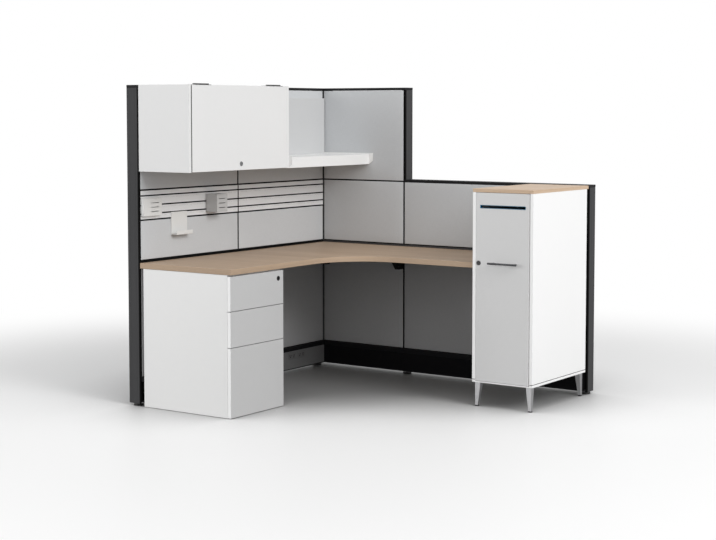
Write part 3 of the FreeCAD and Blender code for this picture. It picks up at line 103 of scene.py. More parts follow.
def shared(tree, share, a, b):
    # share of a and the rest of b
    rest = maths(tree, "SUBTRACT", 1.0, share)
    return maths(tree, "ADD", maths(tree, "MULTIPLY", a, share), maths(tree, "MULTIPLY", b, rest))


def band(tree, value, low, high, outLow=0.0, outHigh=1.0):
    inputs = {"Value": value, "From Min": low, "From Max": high, "To Min": outLow, "To Max": outHigh}
    return addNode(tree, "ShaderNodeMapRange", inputs).outputs["Result"]


def speckle(tree, vector, scale, detail=2.0, rough=0.5, distortion=0.0):
    inputs = {"Vector": vector, "Scale": scale, "Detail": detail, "Roughness": rough,
              "Distortion": distortion}
    return addNode(tree, "ShaderNodeTexNoise", inputs).outputs["Fac"]


def stretched(tree, vector, scale):
    return addNode(tree, "ShaderNodeMapping", {"Vector": vector, "Scale": scale}).outputs["Vector"]


def mixed(tree, kind, share, a, b):
    # kind is VECTOR or RGBA; the result is a where share is 0 and b where it is 1
    first, output = {"VECTOR": (4, 1), "RGBA": (6, 2)}[kind]
    mix = addNode(tree, "ShaderNodeMix", {"Factor": share, first: a, first + 1: b}, data_type=kind)
    return mix.outputs[output]


def newGroup(name, inputs, outputs):
    # a group that takes a Vector and the named inputs, and puts out numbers
    tree = bpy.data.node_groups.new(name, "ShaderNodeTree")
    tree.interface.new_socket("Vector", in_out="INPUT", socket_type="NodeSocketVector")
    for label, value in inputs.items():
        kind = "NodeSocketFloat" if isinstance(value, float) else "NodeSocketVector"
        tree.interface.new_socket(label, in_out="INPUT", socket_type=kind).default_value = value
    for label in outputs:
        tree.interface.new_socket(label, in_out="OUTPUT", socket_type="NodeSocketFloat")
    return tree, tree.nodes.new("NodeGroupInput").outputs, tree.nodes.new("NodeGroupOutput").inputs


weaveLook = {"pitch": 0.0016, "slubAlong": 0.06, "slubAcross": 0.7, "slubDetail": 3.0, "slubRise": 0.6,
             "mottle": 0.004, "slubShare": 0.75}


def panelWeave():
    # Plain weave: each thread's height is |sin| across its cell. The warp shows on odd cells, the weft on
    # even ones, slubs run along both threads, and a slow mottle drifts over the tile.
    look = weaveLook
    tree, given, result = newGroup("panelWeave", {"Pitch": look["pitch"]}, ["Tone", "Height"])
    perMetre = maths(tree, "DIVIDE", 1.0, given["Pitch"])
    cells = vectorMaths(tree, "SCALE", {0: given["Vector"], "Scale": perMetre})
    axes = addNode(tree, "ShaderNodeSeparateXYZ", {0: cells}).outputs[:2]
    warp, weft = [maths(tree, "ABSOLUTE", maths(tree, "SINE", maths(tree, "MULTIPLY", axis, math.pi)))
                  for axis in axes]
    counted = maths(tree, "ADD", *[maths(tree, "FLOOR", axis) for axis in axes])
    raised = shared(tree, maths(tree, "FLOORED_MODULO", counted, 2.0), warp, weft)
    scales = (look["slubAlong"], look["slubAcross"], 1), (look["slubAcross"], look["slubAlong"], 1)
    slub = shared(tree, 0.5, *[speckle(tree, stretched(tree, cells, scale), 1.0, look["slubDetail"])
                               for scale in scales])
    mottle = speckle(tree, stretched(tree, cells, (look["mottle"], look["mottle"], 1)), 1.0)
    slubRise = maths(tree, "MULTIPLY", slub, look["slubRise"])
    link(tree, result, {"Tone": shared(tree, look["slubShare"], slub, mottle),
                        "Height": maths(tree, "ADD", raised, slubRise)})
    return tree


# each grain has its scale on lying and on upright faces, then its noise's detail, roughness and distortion
oakLook = {
    "streaks": {"lying": (1.6, 75, 75), "upright": (1.6, 1.6, 190), "noise": (5.0, 0.62, 0.25)},
    "bands": {"lying": (0.5, 7, 7), "upright": (0.7, 0.7, 16), "noise": (3.0, 0.5, 0.6)},
    "pores": {"lying": (38, 1300, 1300), "upright": (38, 38, 1700), "noise": (1.0, 0.5, 0.0)},
    "poreRange": (0.60, 0.70), "streakShare": 0.5, "streakRise": 0.5,
}


def oakGrain():
    # long streaks, slow bands and fine pores along x; on upright faces they lie along the edge instead
    tree, given, result = newGroup("oakGrain", {}, ["Tone", "Pores", "Height"])
    normal = addNode(tree, "ShaderNodeNewGeometry").outputs["True Normal"]
    upward = maths(tree, "ABSOLUTE", addNode(tree, "ShaderNodeSeparateXYZ", {0: normal}).outputs[2])
    isLying = maths(tree, "GREATER_THAN", upward, 0.5)

    def grain(look):
        lying, upright = [stretched(tree, given["Vector"], look[key]) for key in ("lying", "upright")]
        return speckle(tree, mixed(tree, "VECTOR", isLying, upright, lying), 1.0, *look["noise"])

    streaks, bands = grain(oakLook["streaks"]), grain(oakLook["bands"])
    pores = band(tree, grain(oakLook["pores"]), *oakLook["poreRange"])
    raised = maths(tree, "MULTIPLY", streaks, oakLook["streakRise"])
    link(tree, result, {"Tone": shared(tree, oakLook["streakShare"], streaks, bands), "Pores": pores,
                        "Height": maths(tree, "SUBTRACT", raised, pores)})
    return tree


skinLook = {"slow": 2.3, "slowDetail": 3.0, "quick": 40.0, "slowShare": 0.7, "tones": (0.3, 0.7),
            "smoother": 0.04, "rougher": 0.05, "relief": 0.6, "wornRadius": 0.0015}


def fineSkin():
    # skin of paint, laminate and moulded plastic: fine pebbles, and a tone that drifts slowly and quickly
    tree, given, result = newGroup("fineSkin", {"Pebble": 0.0008}, ["Tone", "Height"])
    slow = speckle(tree, given["Vector"], skinLook["slow"], skinLook["slowDetail"])
    quick = speckle(tree, given["Vector"], skinLook["quick"])
    perMetre = maths(tree, "DIVIDE", 1.0, given["Pebble"])
    link(tree, result, {"Tone": shared(tree, skinLook["slowShare"], slow, quick),
                        "Height": speckle(tree, given["Vector"], perMetre)})
    return tree


hairLook = {"detail": 3.0, "rough": 0.6, "contrast": 0.06, "tones": (0.3, 0.7), "smoother": 0.06,
            "rougher": 0.08, "depth": 0.00002, "relief": 0.5}


def hairlines():
    # brushed metal: fine lines drawn out along one axis of the piece
    tree, given, result = newGroup("hairlines", {"Stretch": (1.0, 1.0, 1.0)}, ["Tone", "Height"])
    drawn = vectorMaths(tree, "MULTIPLY", {0: given["Vector"], 1: given["Stretch"]})
    lines = speckle(tree, drawn, 1.0, hairLook["detail"], hairLook["rough"])
    link(tree, result, {"Tone": lines, "Height": lines})
    return tree


rubLook = {"samples": 4, "alike": (0.97, 0.80), "patches": 60.0, "patchDetail": 3.0,
           "patchRange": (0.42, 0.62)}


def rubbedEdge():
    # worn edges: where a rounded normal turns away from the true one, broken up into patches
    tree, given, result = newGroup("rubbedEdge", {"Radius": 0.002}, ["Mask"])
    bevel = addNode(tree, "ShaderNodeBevel", {"Radius": given["Radius"]}, samples=rubLook["samples"])
    rounded, plain = bevel.outputs["Normal"], addNode(tree, "ShaderNodeNewGeometry").outputs["Normal"]
    alike = vectorMaths(tree, "DOT_PRODUCT", {0: rounded, 1: plain}, "Value")
    patches = speckle(tree, given["Vector"], rubLook["patches"], rubLook["patchDetail"])
    link(tree, result, {"Mask": maths(tree, "MULTIPLY", band(tree, alike, *rubLook["alike"]),
                                      band(tree, patches, *rubLook["patchRange"]))})
    return tree


weave, oak, skin, hair, rub = panelWeave(), oakGrain(), fineSkin(), hairlines(), rubbedEdge()


# materials
def finish(name, color, roughness, sockets):
    # what is the same all over the surface is set on the shader's own sockets
    material = bpy.data.materials.new(name)
    material.use_nodes = True
    surface = material.node_tree.nodes["Principled BSDF"]
    for key, value in {"Base Color": (*color, 1), "Roughness": roughness, **sockets}.items():
        surface.inputs[key].default_value = value
    return material, material.node_tree, surface


def objectPlace(tree):
    return addNode(tree, "ShaderNodeTexCoord").outputs["Object"]


def useGroup(tree, group, inputs):
    return addNode(tree, "ShaderNodeGroup", inputs, node_tree=group).outputs


def blended(tree, share, a, b):
    # colours, each three numbers or another node's socket
    a, b = [color if isinstance(color, bpy.types.NodeSocket) else (*color, 1) for color in (a, b)]
    return mixed(tree, "RGBA", share, a, b)


def drifting(tree, share, color, amount):
    # from darker to lighter than the colour by the amount
    darker, lighter = [[min(1.0, part * factor) for part in color] for factor in (1 - amount, 1 + amount)]
    return blended(tree, share, darker, lighter)


def addRelief(tree, surface, height, distance, strength):
    bump = addNode(tree, "ShaderNodeBump", {"Height": height, "Distance": distance, "Strength": strength})
    link(tree, surface.inputs, {"Normal": bump.outputs["Normal"]})


def skinned(name, color, roughness, pebble=0.0009, depth=0.00004, drift=0.03, worn=None, metallic=0.0,
            specular=0.5):
    look = skinLook
    sockets = {"Metallic": metallic, "Specular IOR Level": specular}
    material, tree, surface = finish(name, color, roughness, sockets)
    place = objectPlace(tree)
    out = useGroup(tree, skin, {"Vector": place, "Pebble": pebble})
    tint = drifting(tree, band(tree, out["Tone"], *look["tones"]), color, drift)
    if worn:
        mask = useGroup(tree, rub, {"Vector": place, "Radius": look["wornRadius"]})["Mask"]
        tint = blended(tree, mask, tint, worn)
    rough = band(tree, out["Tone"], *look["tones"], roughness - look["smoother"],
                 roughness + look["rougher"])
    link(tree, surface.inputs, {"Base Color": tint, "Roughness": rough})
    addRelief(tree, surface, out["Height"], depth, look["relief"])
    return material


clothLook = {"roughness": 0.92, "specular": 0.25, "sheen": 0.25, "sheenRoughness": 0.5,
             "tones": (0.34, 0.66), "roughTones": (0.3, 0.7), "roughRange": (0.96, 0.86), "depth": 0.00022,
             "relief": 0.55}


def clothed(name, color, contrast):
    look = clothLook
    sockets = {"Specular IOR Level": look["specular"], "Sheen Weight": look["sheen"],
               "Sheen Roughness": look["sheenRoughness"]}
    material, tree, surface = finish(name, color, look["roughness"], sockets)
    plan = addNode(tree, "ShaderNodeUVMap", uv_map="clothPlan").outputs["UV"]
    out = useGroup(tree, weave, {"Vector": plan, "Pitch": weaveLook["pitch"]})
    link(tree, surface.inputs, {
        "Base Color": drifting(tree, band(tree, out["Tone"], *look["tones"]), color, contrast),
        "Roughness": band(tree, out["Tone"], *look["roughTones"], *look["roughRange"])})
    addRelief(tree, surface, out["Height"], look["depth"], look["relief"])
    return material


def hairlined(name, color, roughness, stretch):
    look = hairLook
    material, tree, surface = finish(name, color, roughness, {"Metallic": 1.0})
    out = useGroup(tree, hair, {"Vector": objectPlace(tree), "Stretch": stretch})
    link(tree, surface.inputs, {
        "Base Color": drifting(tree, out["Tone"], color, look["contrast"]),
        "Roughness": band(tree, out["Tone"], *look["tones"], roughness - look["smoother"],
                          roughness + look["rougher"])})
    addRelief(tree, surface, out["Height"], look["depth"], look["relief"])
    return material


boardLook = {"roughness": 0.46, "specular": 0.3, "tones": (0.32, 0.68), "poreShare": 0.30,
             "roughTones": (0.2, 0.8), "roughRange": (0.42, 0.54), "depth": 0.00005, "relief": 0.4}


def oaked(name, pale, deep, dark):
    look = boardLook
    sockets = {"Specular IOR Level": look["specular"]}
    material, tree, surface = finish(name, pale, look["roughness"], sockets)
    out = useGroup(tree, oak, {"Vector": objectPlace(tree)})
    ground = blended(tree, band(tree, out["Tone"], *look["tones"]), pale, deep)
    link(tree, surface.inputs, {
        "Base Color": blended(tree, maths(tree, "MULTIPLY", out["Pores"], look["poreShare"]), ground, dark),
        "Roughness": band(tree, out["Tone"], *look["roughTones"], *look["roughRange"])})
    addRelief(tree, surface, out["Height"], look["depth"], look["relief"])
    return material


def grey(value):
    return value, value, value


lacquer = {"pebble": 0.0011, "depth": 0.00003}
moulded = {"pebble": 0.0012, "depth": 0.00008}
polished = {"pebble": 0.0007, "depth": 0.00001}
# one finish for each material slot of the record
finishes = {
    "frame_black": skinned("frameBlack", (0.010, 0.010, 0.011), 0.6, worn=grey(0.05), specular=0.12),
    "trim_grey": skinned("trimGrey", (0.066, 0.066, 0.068), 0.68, **lacquer, drift=0.05, worn=grey(0.11),
                         specular=0.06),
    # the gasket black also stands as painted shade in grooves, tile reveals, socket slots and the overhead
    # door's gap
    "gasket_black": skinned("gasketBlackAndShade", grey(0.005), 0.8, pebble=0.0016, depth=0.00006, drift=0.1,
                            specular=0.06),
    "cap_black": skinned("capBlack", (0.011, 0.011, 0.012), 0.6, pebble=0.001, depth=0.00003, drift=0.06,
                         worn=grey(0.04), specular=0.15),
    "tile_fabric": clothed("tileCloth", (0.558, 0.571, 0.585), 0.05),
    # the under-desk tiles take a darker copy of the panel cloth, painted shade under the worktop
    "tile_grey": clothed("tileClothShadedGrey", (0.40, 0.40, 0.405), 0.06),
    "slat_silver": skinned("slatSilver", (0.74, 0.745, 0.755), 0.45, pebble=0.0012, depth=0.00002,
                           drift=0.02),
    "raceway_grey": skinned("racewayGrey", (0.16, 0.16, 0.161), 0.55, pebble=0.0012, depth=0.00005,
                            drift=0.06, worn=grey(0.22), specular=0.2),
    "outlet_grey": skinned("outletGrey", grey(0.14), 0.45, depth=0.00003, drift=0.04, specular=0.25),
    "glide_black": skinned("glideBlack", grey(0.012), 0.6, **moulded, drift=0.1),
    "bracket_black": skinned("bracketBlack", grey(0.010), 0.6, worn=grey(0.04), specular=0.12),
    # the worktop's oak is a darker copy of the tower top's, painted shade
    "oak_laminate": oaked("oakWorktopShaded", (0.475, 0.352, 0.250), (0.385, 0.278, 0.192), (0.20, 0.14, 0.09)),
    "cabinet_white": skinned("cabinetWhite", (0.84, 0.84, 0.835), 0.4, **lacquer, drift=0.012),
    "shelf_white": skinned("shelfWhite", (0.82, 0.82, 0.815), 0.38, depth=0.00005, drift=0.015),
    "hinge_steel": hairlined("hingeSteel", grey(0.13), 0.38, (900, 60, 900)),
    "lock_chrome": skinned("lockChrome", (0.24, 0.24, 0.245), 0.25, **polished, metallic=1.0),
    "accessory_white": skinned("accessoryWhite", (0.72, 0.72, 0.71), 0.45, drift=0.02),
    "accessory_grey": skinned("accessoryGrey", grey(0.5), 0.42),
    # the drawer fronts' grey is darker than the cabinet white to stand in for the shade on them, painted
    # shade
    "drawer_grey": skinned("drawerShadedGrey", grey(0.53), 0.4, **lacquer, drift=0.015),
    "drawer_steel": skinned("drawerSteel", (0.34, 0.34, 0.345), 0.42),
    "runner_zinc": hairlined("runnerZinc", (0.55, 0.56, 0.58), 0.34, (40, 900, 900)),
    "tray_black": skinned("trayBlack", grey(0.02), 0.5, **moulded, drift=0.08),
    "door_grey": skinned("doorGrey", grey(0.65), 0.4, **lacquer, drift=0.015),
    "mail_liner": skinned("mailTeal", (0.02, 0.17, 0.27), 0.4, drift=0.06, specular=0.25),
    "handle_black": skinned("handleDark", (0.05, 0.05, 0.055), 0.28, pebble=0.0008, depth=0.00002,
                            drift=0.06, worn=(0.22, 0.22, 0.23), metallic=0.8),
    "bush_nylon": skinned("bushNylon", (0.75, 0.74, 0.70), 0.5, pebble=0.001),
    "leg_silver": hairlined("legSilver", (0.58, 0.58, 0.59), 0.34, (500, 500, 25)),
}
# finishes of single pieces and faces
# the tower top's oak is a lighter copy of the worktop's, painted light
oakTowerLit = oaked("oakTowerLit", (0.66, 0.492, 0.352), (0.56, 0.406, 0.282), (0.30, 0.21, 0.14))
# the overhead cabinet takes a darker copy of the cabinet white, painted shade, and the tower a lighter copy,
# painted light
overheadShadedWhite = skinned("overheadShadedWhite", (0.77, 0.77, 0.768), 0.4, **lacquer, drift=0.012)
towerLitWhite = skinned("towerLitWhite", (0.91, 0.91, 0.908), 0.4, **lacquer, drift=0.008)
backGrey = skinned("backGrey", (0.55, 0.555, 0.56), 0.45, **lacquer, drift=0.015)
# a whiter copy of the cabinet white for the side edges of the drawer fronts and the tower door, painted
# highlight
edgeHighlightWhite = skinned("paintedEdgeHighlight", (0.95, 0.95, 0.948), 0.42, **lacquer, drift=0.01)
# a near-black copy of the raceway grey for the back covers, painted shade
racewayShadedBlack = skinned("racewayShadedBlack", (0.008, 0.008, 0.009), 0.7, pebble=0.0012, depth=0.00005, drift=0.08,
                      specular=0.06)
slotNavy = skinned("slotNavy", (0.012, 0.15, 0.31), 0.6, depth=0.00003, drift=0.08, specular=0.1)
postSilver = skinned("postSilver", (0.5, 0.5, 0.51), 0.3, pebble=0.0008, depth=0.00001, drift=0.04,
                     metallic=0.9)
lockDark = skinned("lockDark", (0.05, 0.05, 0.052), 0.25, **polished, drift=0.05, metallic=0.9)
print("materials:", len(bpy.data.materials))


# shapes taken over from the CAD solids
def weldedSolids(name):
    # A node's mesh is loose triangles. Corners at one spot, to a micron, are joined, but only within one
    # closed solid: triangles take the lowest label among those they share a two-sided edge with, until none
    # changes. Gives the points, the triangles and each point's solid.
    mesh, microns = nodes[name].data, 1e6
    points = np.empty(len(mesh.vertices) * 3)
    mesh.vertices.foreach_get("co", points)
    mesh.calc_loop_triangles()
    corners = np.empty(len(mesh.loop_triangles) * 3, np.int32)
    mesh.loop_triangles.foreach_get("vertices", corners)
    whole = np.round(points.reshape(-1, 3) * microns).astype(np.int64)
    spots, spotOf = np.unique(whole, axis=0, return_inverse=True)
    tri = spotOf.ravel()[corners].reshape(-1, 3)
    tri = tri[(tri[:, 0] != tri[:, 1]) & (tri[:, 1] != tri[:, 2]) & (tri[:, 2] != tri[:, 0])]
    low, high = np.sort(np.concatenate([tri[:, [0, 1]], tri[:, [1, 2]], tri[:, [2, 0]]]), axis=1).T
    owner = np.tile(np.arange(len(tri)), 3)
    _, which, count = np.unique(low * len(spots) + high, return_inverse=True, return_counts=True)
    order = np.argsort(which.ravel(), kind="stable")
    start = np.concatenate([[0], np.cumsum(count)[:-1]])[count == 2]
    first, second = owner[order][start], owner[order][start + 1]
    label = np.arange(len(tri))
    while True:
        lowest = np.minimum(label[first], label[second])
        newer = label.copy()
        np.minimum.at(newer, first, lowest)
        np.minimum.at(newer, second, lowest)
        newer = newer[newer]
        if (newer == label).all():
            break
        label = newer
    keys, pointOf = np.unique(label[:, None] * len(spots) + tri, return_inverse=True)
    return spots[keys % len(spots)] / microns, pointOf.reshape(-1, 3), keys // len(spots)


def solidBoxes(name):
    points, _, solidOf = weldedSolids(name)
    return [(points[solidOf == one].min(0), points[solidOf == one].max(0)) for one in np.unique(solidOf)]


def settle(piece, node, materials):
    # the piece rides with the node, and takes its slot unless another is named
    bpy.context.scene.collection.objects.link(piece)
    for material in materials:
        piece.data.materials.append(material)
    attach(piece, body_of(nodes[node])[0])


# angles below which faces are joined and above which an edge is sharp, and the shortest edge in widths
edgeLook = {"flat": 0.02, "sharp": 0.6, "shortest": 3.0, "segments": 2}


def roundEdges(name, width, material, second):
    # The node's own solids, flat faces joined again, with their long sharp edges rounded. The second finish
    # goes on the faces whose centre and normal pass its test.
    points, faces, _ = weldedSolids(name)
    mesh = bpy.data.meshes.new(name + "_finished")
    mesh.from_pydata(points.tolist(), [], faces.tolist())
    shape = bmesh.new()
    shape.from_mesh(mesh)
    bmesh.ops.dissolve_limit(shape, angle_limit=edgeLook["flat"], verts=shape.verts, edges=shape.edges)
    weight = shape.edges.layers.float.new("bevel_weight_edge")
    for side in shape.edges:
        sharp = len(side.link_faces) == 2 and side.calc_face_angle() > edgeLook["sharp"]
        if sharp and side.calc_length() > edgeLook["shortest"] * width:
            side[weight] = 1.0
        side.smooth = not sharp or side[weight] > 0
    for face in shape.faces:
        face.smooth = True
        if second and second[1](face.calc_center_median(), face.normal):
            face.material_index = 1
    shape.to_mesh(mesh)
    shape.free()
    piece = bpy.data.objects.new(name + "_finished", mesh)
    bevel = piece.modifiers.new("roundedEdges", "BEVEL")
    bevel.limit_method = "WEIGHT"
    bevel.width = width
    bevel.segments = edgeLook["segments"]
    bevel.harden_normals = True
    settle(piece, name, [material, second[0]] if second else [material])
    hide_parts(name)


roundingWidths = {
    "corner_post": 0.0015, "top_cap_high": 0.0018, "top_cap_low": 0.0018,
    "slat_rail_left_front": 0.0005, "slat_rail_left_rear": 0.0005, "raceway_rails": 0.001,
    "raceway_covers": 0.0008, "raceway_covers_outer": 0.0008, "worktop_brackets": 0.0008,
    "overhead_case": 0.001, "overhead_door": 0.0012, "overhead_lock": 0.0005, "shelf_pan": 0.0009,
    "shelf_back": 0.001, "shelf_brackets": 0.0006, "message_holder": 0.0007, "tablet_ledge": 0.0009,
    "pen_cup": 0.0007, "pedestal_case": 0.001, "drawer_front_top": 0.0012, "drawer_front_middle": 0.0012,
    "drawer_front_file": 0.0012, "drawer_box_top": 0.0006, "drawer_box_middle": 0.0006,
    "drawer_box_file": 0.0006, "runner_fixed": 0.0006, "runner_mid_top": 0.0006,
    "runner_mid_middle": 0.0006, "runner_mid_file": 0.0006, "pedestal_lock": 0.0005, "lock_bar": 0.0005,
    "file_rails": 0.0006, "pencil_tray": 0.0008, "tower_case": 0.001, "tower_top": 0.0012,
    "tower_door": 0.0012, "mail_slot": 0.0003, "tower_handle": 0.0008, "tower_lock": 0.0005,
    "tower_shelves": 0.001, "levelling_glides": 0.0012, "power_outlets": 0.0008, "tower_legs": 0.0006,
    "overhead_hinge_fixed": 0.0003, "overhead_hinge_moving": 0.0003,
}
ownFinish = {"pedestal_lock": lockDark, "tower_lock": lockDark, "tower_top": oakTowerLit,
             "tower_case": towerLitWhite, "overhead_case": overheadShadedWhite, "overhead_door": overheadShadedWhite,
             "shelf_back": backGrey}

# Where second finishes begin: depths behind the slat rails' and the handle's fronts, the groove's floor and
# ceiling above the tower's foot, the pads' tops, and how far from the left the back raceway covers begin.
# A face is square to an axis where its normal's part along it is larger than "square".
faceLook = {"square": 0.9, "near": 0.0004, "slatDepth": 0.005, "groove": (0.013, 0.0155), "padTop": 0.006,
            "handleBar": 0.012, "coverFrom": 0.04}
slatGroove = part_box("slat_rail_left_front")[1][0] - faceLook["slatDepth"]
grooveFloor, grooveCeiling = [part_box("tower_case")[0][2] + height for height in faceLook["groove"]]
padTop = faceLook["padTop"] + faceLook["near"]
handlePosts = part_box("tower_handle")[0][1] + faceLook["handleBar"]
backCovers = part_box("raceway_covers")[0][0] + faceLook["coverFrom"]


# faces in the slat rails' grooves and off their fronts take the black gasket finish, painted shade
def inSlatGroove(middle, normal):
    return normal.x < faceLook["square"] or middle.x < slatGroove


# the groove above the tower's foot takes the black gasket finish, painted shade
def inBaseGroove(middle, normal):
    # the cabinet's own floor is level with the groove's ceiling, but faces up
    below = middle.z < grooveCeiling - faceLook["near"] or normal.z < -faceLook["square"]
    return below and grooveFloor - faceLook["near"] < middle.z < grooveCeiling + faceLook["near"]


def onSides(middle, normal):
    return abs(normal.y) > faceLook["square"]


def offFront(middle, normal):
    return abs(normal.y) < faceLook["square"]


secondFinish = {
    "slat_rail_left_front": (finishes["gasket_black"], inSlatGroove),
    "slat_rail_left_rear": (finishes["gasket_black"], inSlatGroove),
    # the drawer fronts' side edges and the tower door's edges take the painted highlight
    "drawer_front_top": (edgeHighlightWhite, onSides),
    "drawer_front_middle": (edgeHighlightWhite, onSides),
    "drawer_front_file": (edgeHighlightWhite, onSides),
    "tower_door": (edgeHighlightWhite, offFront),
    "mail_slot": (slotNavy, offFront),
    "tower_legs": (finishes["glide_black"], lambda middle, normal: middle.z < padTop),
    "tower_case": (finishes["gasket_black"], inBaseGroove),
    # the back raceway covers take the near-black copy, painted shade
    "raceway_covers": (racewayShadedBlack, lambda middle, normal: middle.x > backCovers),
    "tower_handle": (postSilver, lambda middle, normal: middle.y > handlePosts),
}
for name, width in roundingWidths.items():
    roundEdges(name, width, ownFinish.get(name, finishes[slotOf[name]]), secondFinish.get(name))
print("edges rounded on", len(roundingWidths), "nodes")

# the CAD nodes' own meshes take their slot's finish
for name, slotName in slotOf.items():
    nodes[name].data.materials.clear()
    nodes[name].data.materials.append(finishes[slotName])


def quads(index):
    # faces of a grid of point numbers, one to each cell
    corners = [index[:-1, :-1], index[:-1, 1:], index[1:, 1:], index[1:, :-1]]
    return np.stack(corners, -1).reshape(-1, 4).tolist()


# cloth tiles
tileLook = {"roll": 0.002, "crown": 0.0004, "rollSteps": 5, "midSteps": 8, "sideTrim": 0.0015,
            "skirtLean": 0.05}
postLow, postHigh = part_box("corner_post")
wallMiddles = (postLow[0] + postHigh[0]) / 2, (postLow[1] + postHigh[1]) / 2


def crowded(length):
    # places along one side: close together over the rolled edge, even across the middle
    roll = tileLook["roll"]
    rolled = roll * (1 - np.cos(np.linspace(0, math.pi / 2, tileLook["rollSteps"])))
    middle = np.linspace(roll, length - roll, tileLook["midSteps"])[1:-1]
    return np.concatenate([rolled, middle, length - rolled[::-1]])


def rolledShare(places, length):
    # a quarter circle up over the roll at each end, and 1 between
    near = np.clip(np.minimum(places, length - places) / tileLook["roll"], 0, 1)
    return np.sqrt(np.clip(1 - (1 - near) ** 2, 0, 1))


def clothTile(name, node, low, high):
    # Height over the back = side + roll * rolledShare(u) * rolledShare(v) + crown * (1 - a^4) * (1 - b^4),
    # with u and v in metres over the tile, and a and b the same places from -1 to 1. A skirt goes down to
    # the back, which is closed.
    out = int(np.argmin((high - low)[:2]))
    along = 1 - out
    trim = np.zeros(3)
    trim[along] = tileLook["sideTrim"]
    low, high = low + trim, high - trim
    wide, thick, tall = (high - low)[[along, out, 2]]
    u, v = np.meshgrid(crowded(wide), crowded(tall))
    dome = (1 - (2 * u / wide - 1) ** 4) * (1 - (2 * v / tall - 1) ** 4)
    roll, crown = tileLook["roll"], tileLook["crown"]
    height = thick - roll - crown + roll * rolledShare(u, wide) * rolledShare(v, tall) + crown * dome
    back, outward = (low[out], 1) if (low + high)[out] / 2 > wallMiddles[out] else (high[out], -1)
    points = np.empty(u.shape + (3,))
    points[..., along] = low[along] + u
    points[..., 2] = low[2] + v
    points[..., out] = back + outward * height
    index = np.arange(u.size).reshape(u.shape)
    rim = np.concatenate([index[0, :-1], index[:-1, -1], index[-1, :0:-1], index[:0:-1, 0]])
    skirt = points.reshape(-1, 3)[rim]
    skirt[:, out] = back
    under = np.arange(len(rim)) + u.size
    walls = np.stack([rim, np.roll(rim, -1), np.roll(under, -1), under], -1)
    mesh = bpy.data.meshes.new(name)
    allPoints = np.concatenate([points.reshape(-1, 3), skirt])
    mesh.from_pydata(allPoints.tolist(), [], quads(index) + walls.tolist() + [under.tolist()])
    shape = bmesh.new()
    shape.from_mesh(mesh)
    bmesh.ops.recalc_face_normals(shape, faces=shape.faces)
    for face in shape.faces:
        isBack = len(face.verts) > 4
        face.smooth = not isBack
        # skirts and back take the black gasket finish, painted shade in the reveals between tiles
        face.material_index = 1 if isBack or abs(face.normal[out]) < tileLook["skirtLean"] else 0
    shape.to_mesh(mesh)
    shape.free()
    corner = np.empty(len(mesh.loops), np.int32)
    mesh.loops.foreach_get("vertex_index", corner)
    mesh.uv_layers.new(name="clothPlan").data.foreach_set("uv", allPoints[corner][:, [along, 2]].ravel())
    piece = bpy.data.objects.new(name, mesh)
    settle(piece, node, [finishes[slotOf[node]], finishes["gasket_black"]])
    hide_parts(node)


tiles = 0
for node in ("upper_tiles", "desk_tiles", "under_desk_tiles", "outer_tiles"):
    for number, (low, high) in enumerate(solidBoxes(node)):
        clothTile(node + "_cloth_" + str(number), node, low, high)
        tiles += 1
print("cloth tiles:", tiles)

# strips and plugs
meshLook = {"weld": 1e-6, "sharp": 0.7}


def extruded(name, section, axes, ends):
    # A closed outline, whose two columns lie along axes, is carried along the third axis between the two
    # ends: faces join the two rings all round, and both are capped.
    rings = np.empty((2, len(section), 3))
    rings[..., list(axes)] = section
    rings[..., 3 - sum(axes)] = np.array(ends)[:, None]
    index = np.arange(2 * len(section)).reshape(2, -1)
    faces = quads(np.concatenate([index, index[:, :1]], 1)) + [index[0][::-1].tolist(), index[1].tolist()]
    mesh = bpy.data.meshes.new(name)
    mesh.from_pydata(rings.reshape(-1, 3).tolist(), [], faces)
    shape = bmesh.new()
    shape.from_mesh(mesh)
    bmesh.ops.remove_doubles(shape, verts=shape.verts, dist=meshLook["weld"])
    bmesh.ops.recalc_face_normals(shape, faces=shape.faces)
    for face in shape.faces:
        face.smooth = True
    for side in shape.edges:
        if len(side.link_faces) == 2 and side.calc_face_angle() > meshLook["sharp"]:
            side.smooth = False
    shape.to_mesh(mesh)
    shape.free()
    return bpy.data.objects.new(name, mesh)


barLook = {"steps": 16, "gasketRound": 0.15, "sealRound": 0.25}


def roundedBar(name, low, high, share=barLook["sealRound"]):
    # Section in plan: middle + sign(c) * (half - r) + r * c, with c = (cos a, sin a), a rectangle whose
    # corners have radius r = share * its thinner side; carried up from low to high.
    low, high = np.array(low), np.array(high)
    a = np.linspace(0, 2 * math.pi, barLook["steps"], endpoint=False) + math.pi / barLook["steps"]
    c = np.stack([np.cos(a), np.sin(a)], -1)
    half = (high - low)[:2] / 2
    r = share * 2 * half.min()
    section = (low + high)[:2] / 2 + np.sign(c) * (half - r) + r * c
    return extruded(name, section, (0, 1), (low[2], high[2]))


def gasketStrip(name, low, high):
    return roundedBar(name, low, high, barLook["gasketRound"])


trimLook = {"corner": 0.0016, "grooveShares": (0.24, 0.80), "grooveWide": 0.0034, "grooveDeep": 0.0011,
            "steps": 9, "grooveSteps": 7, "overGasket": 0.005}


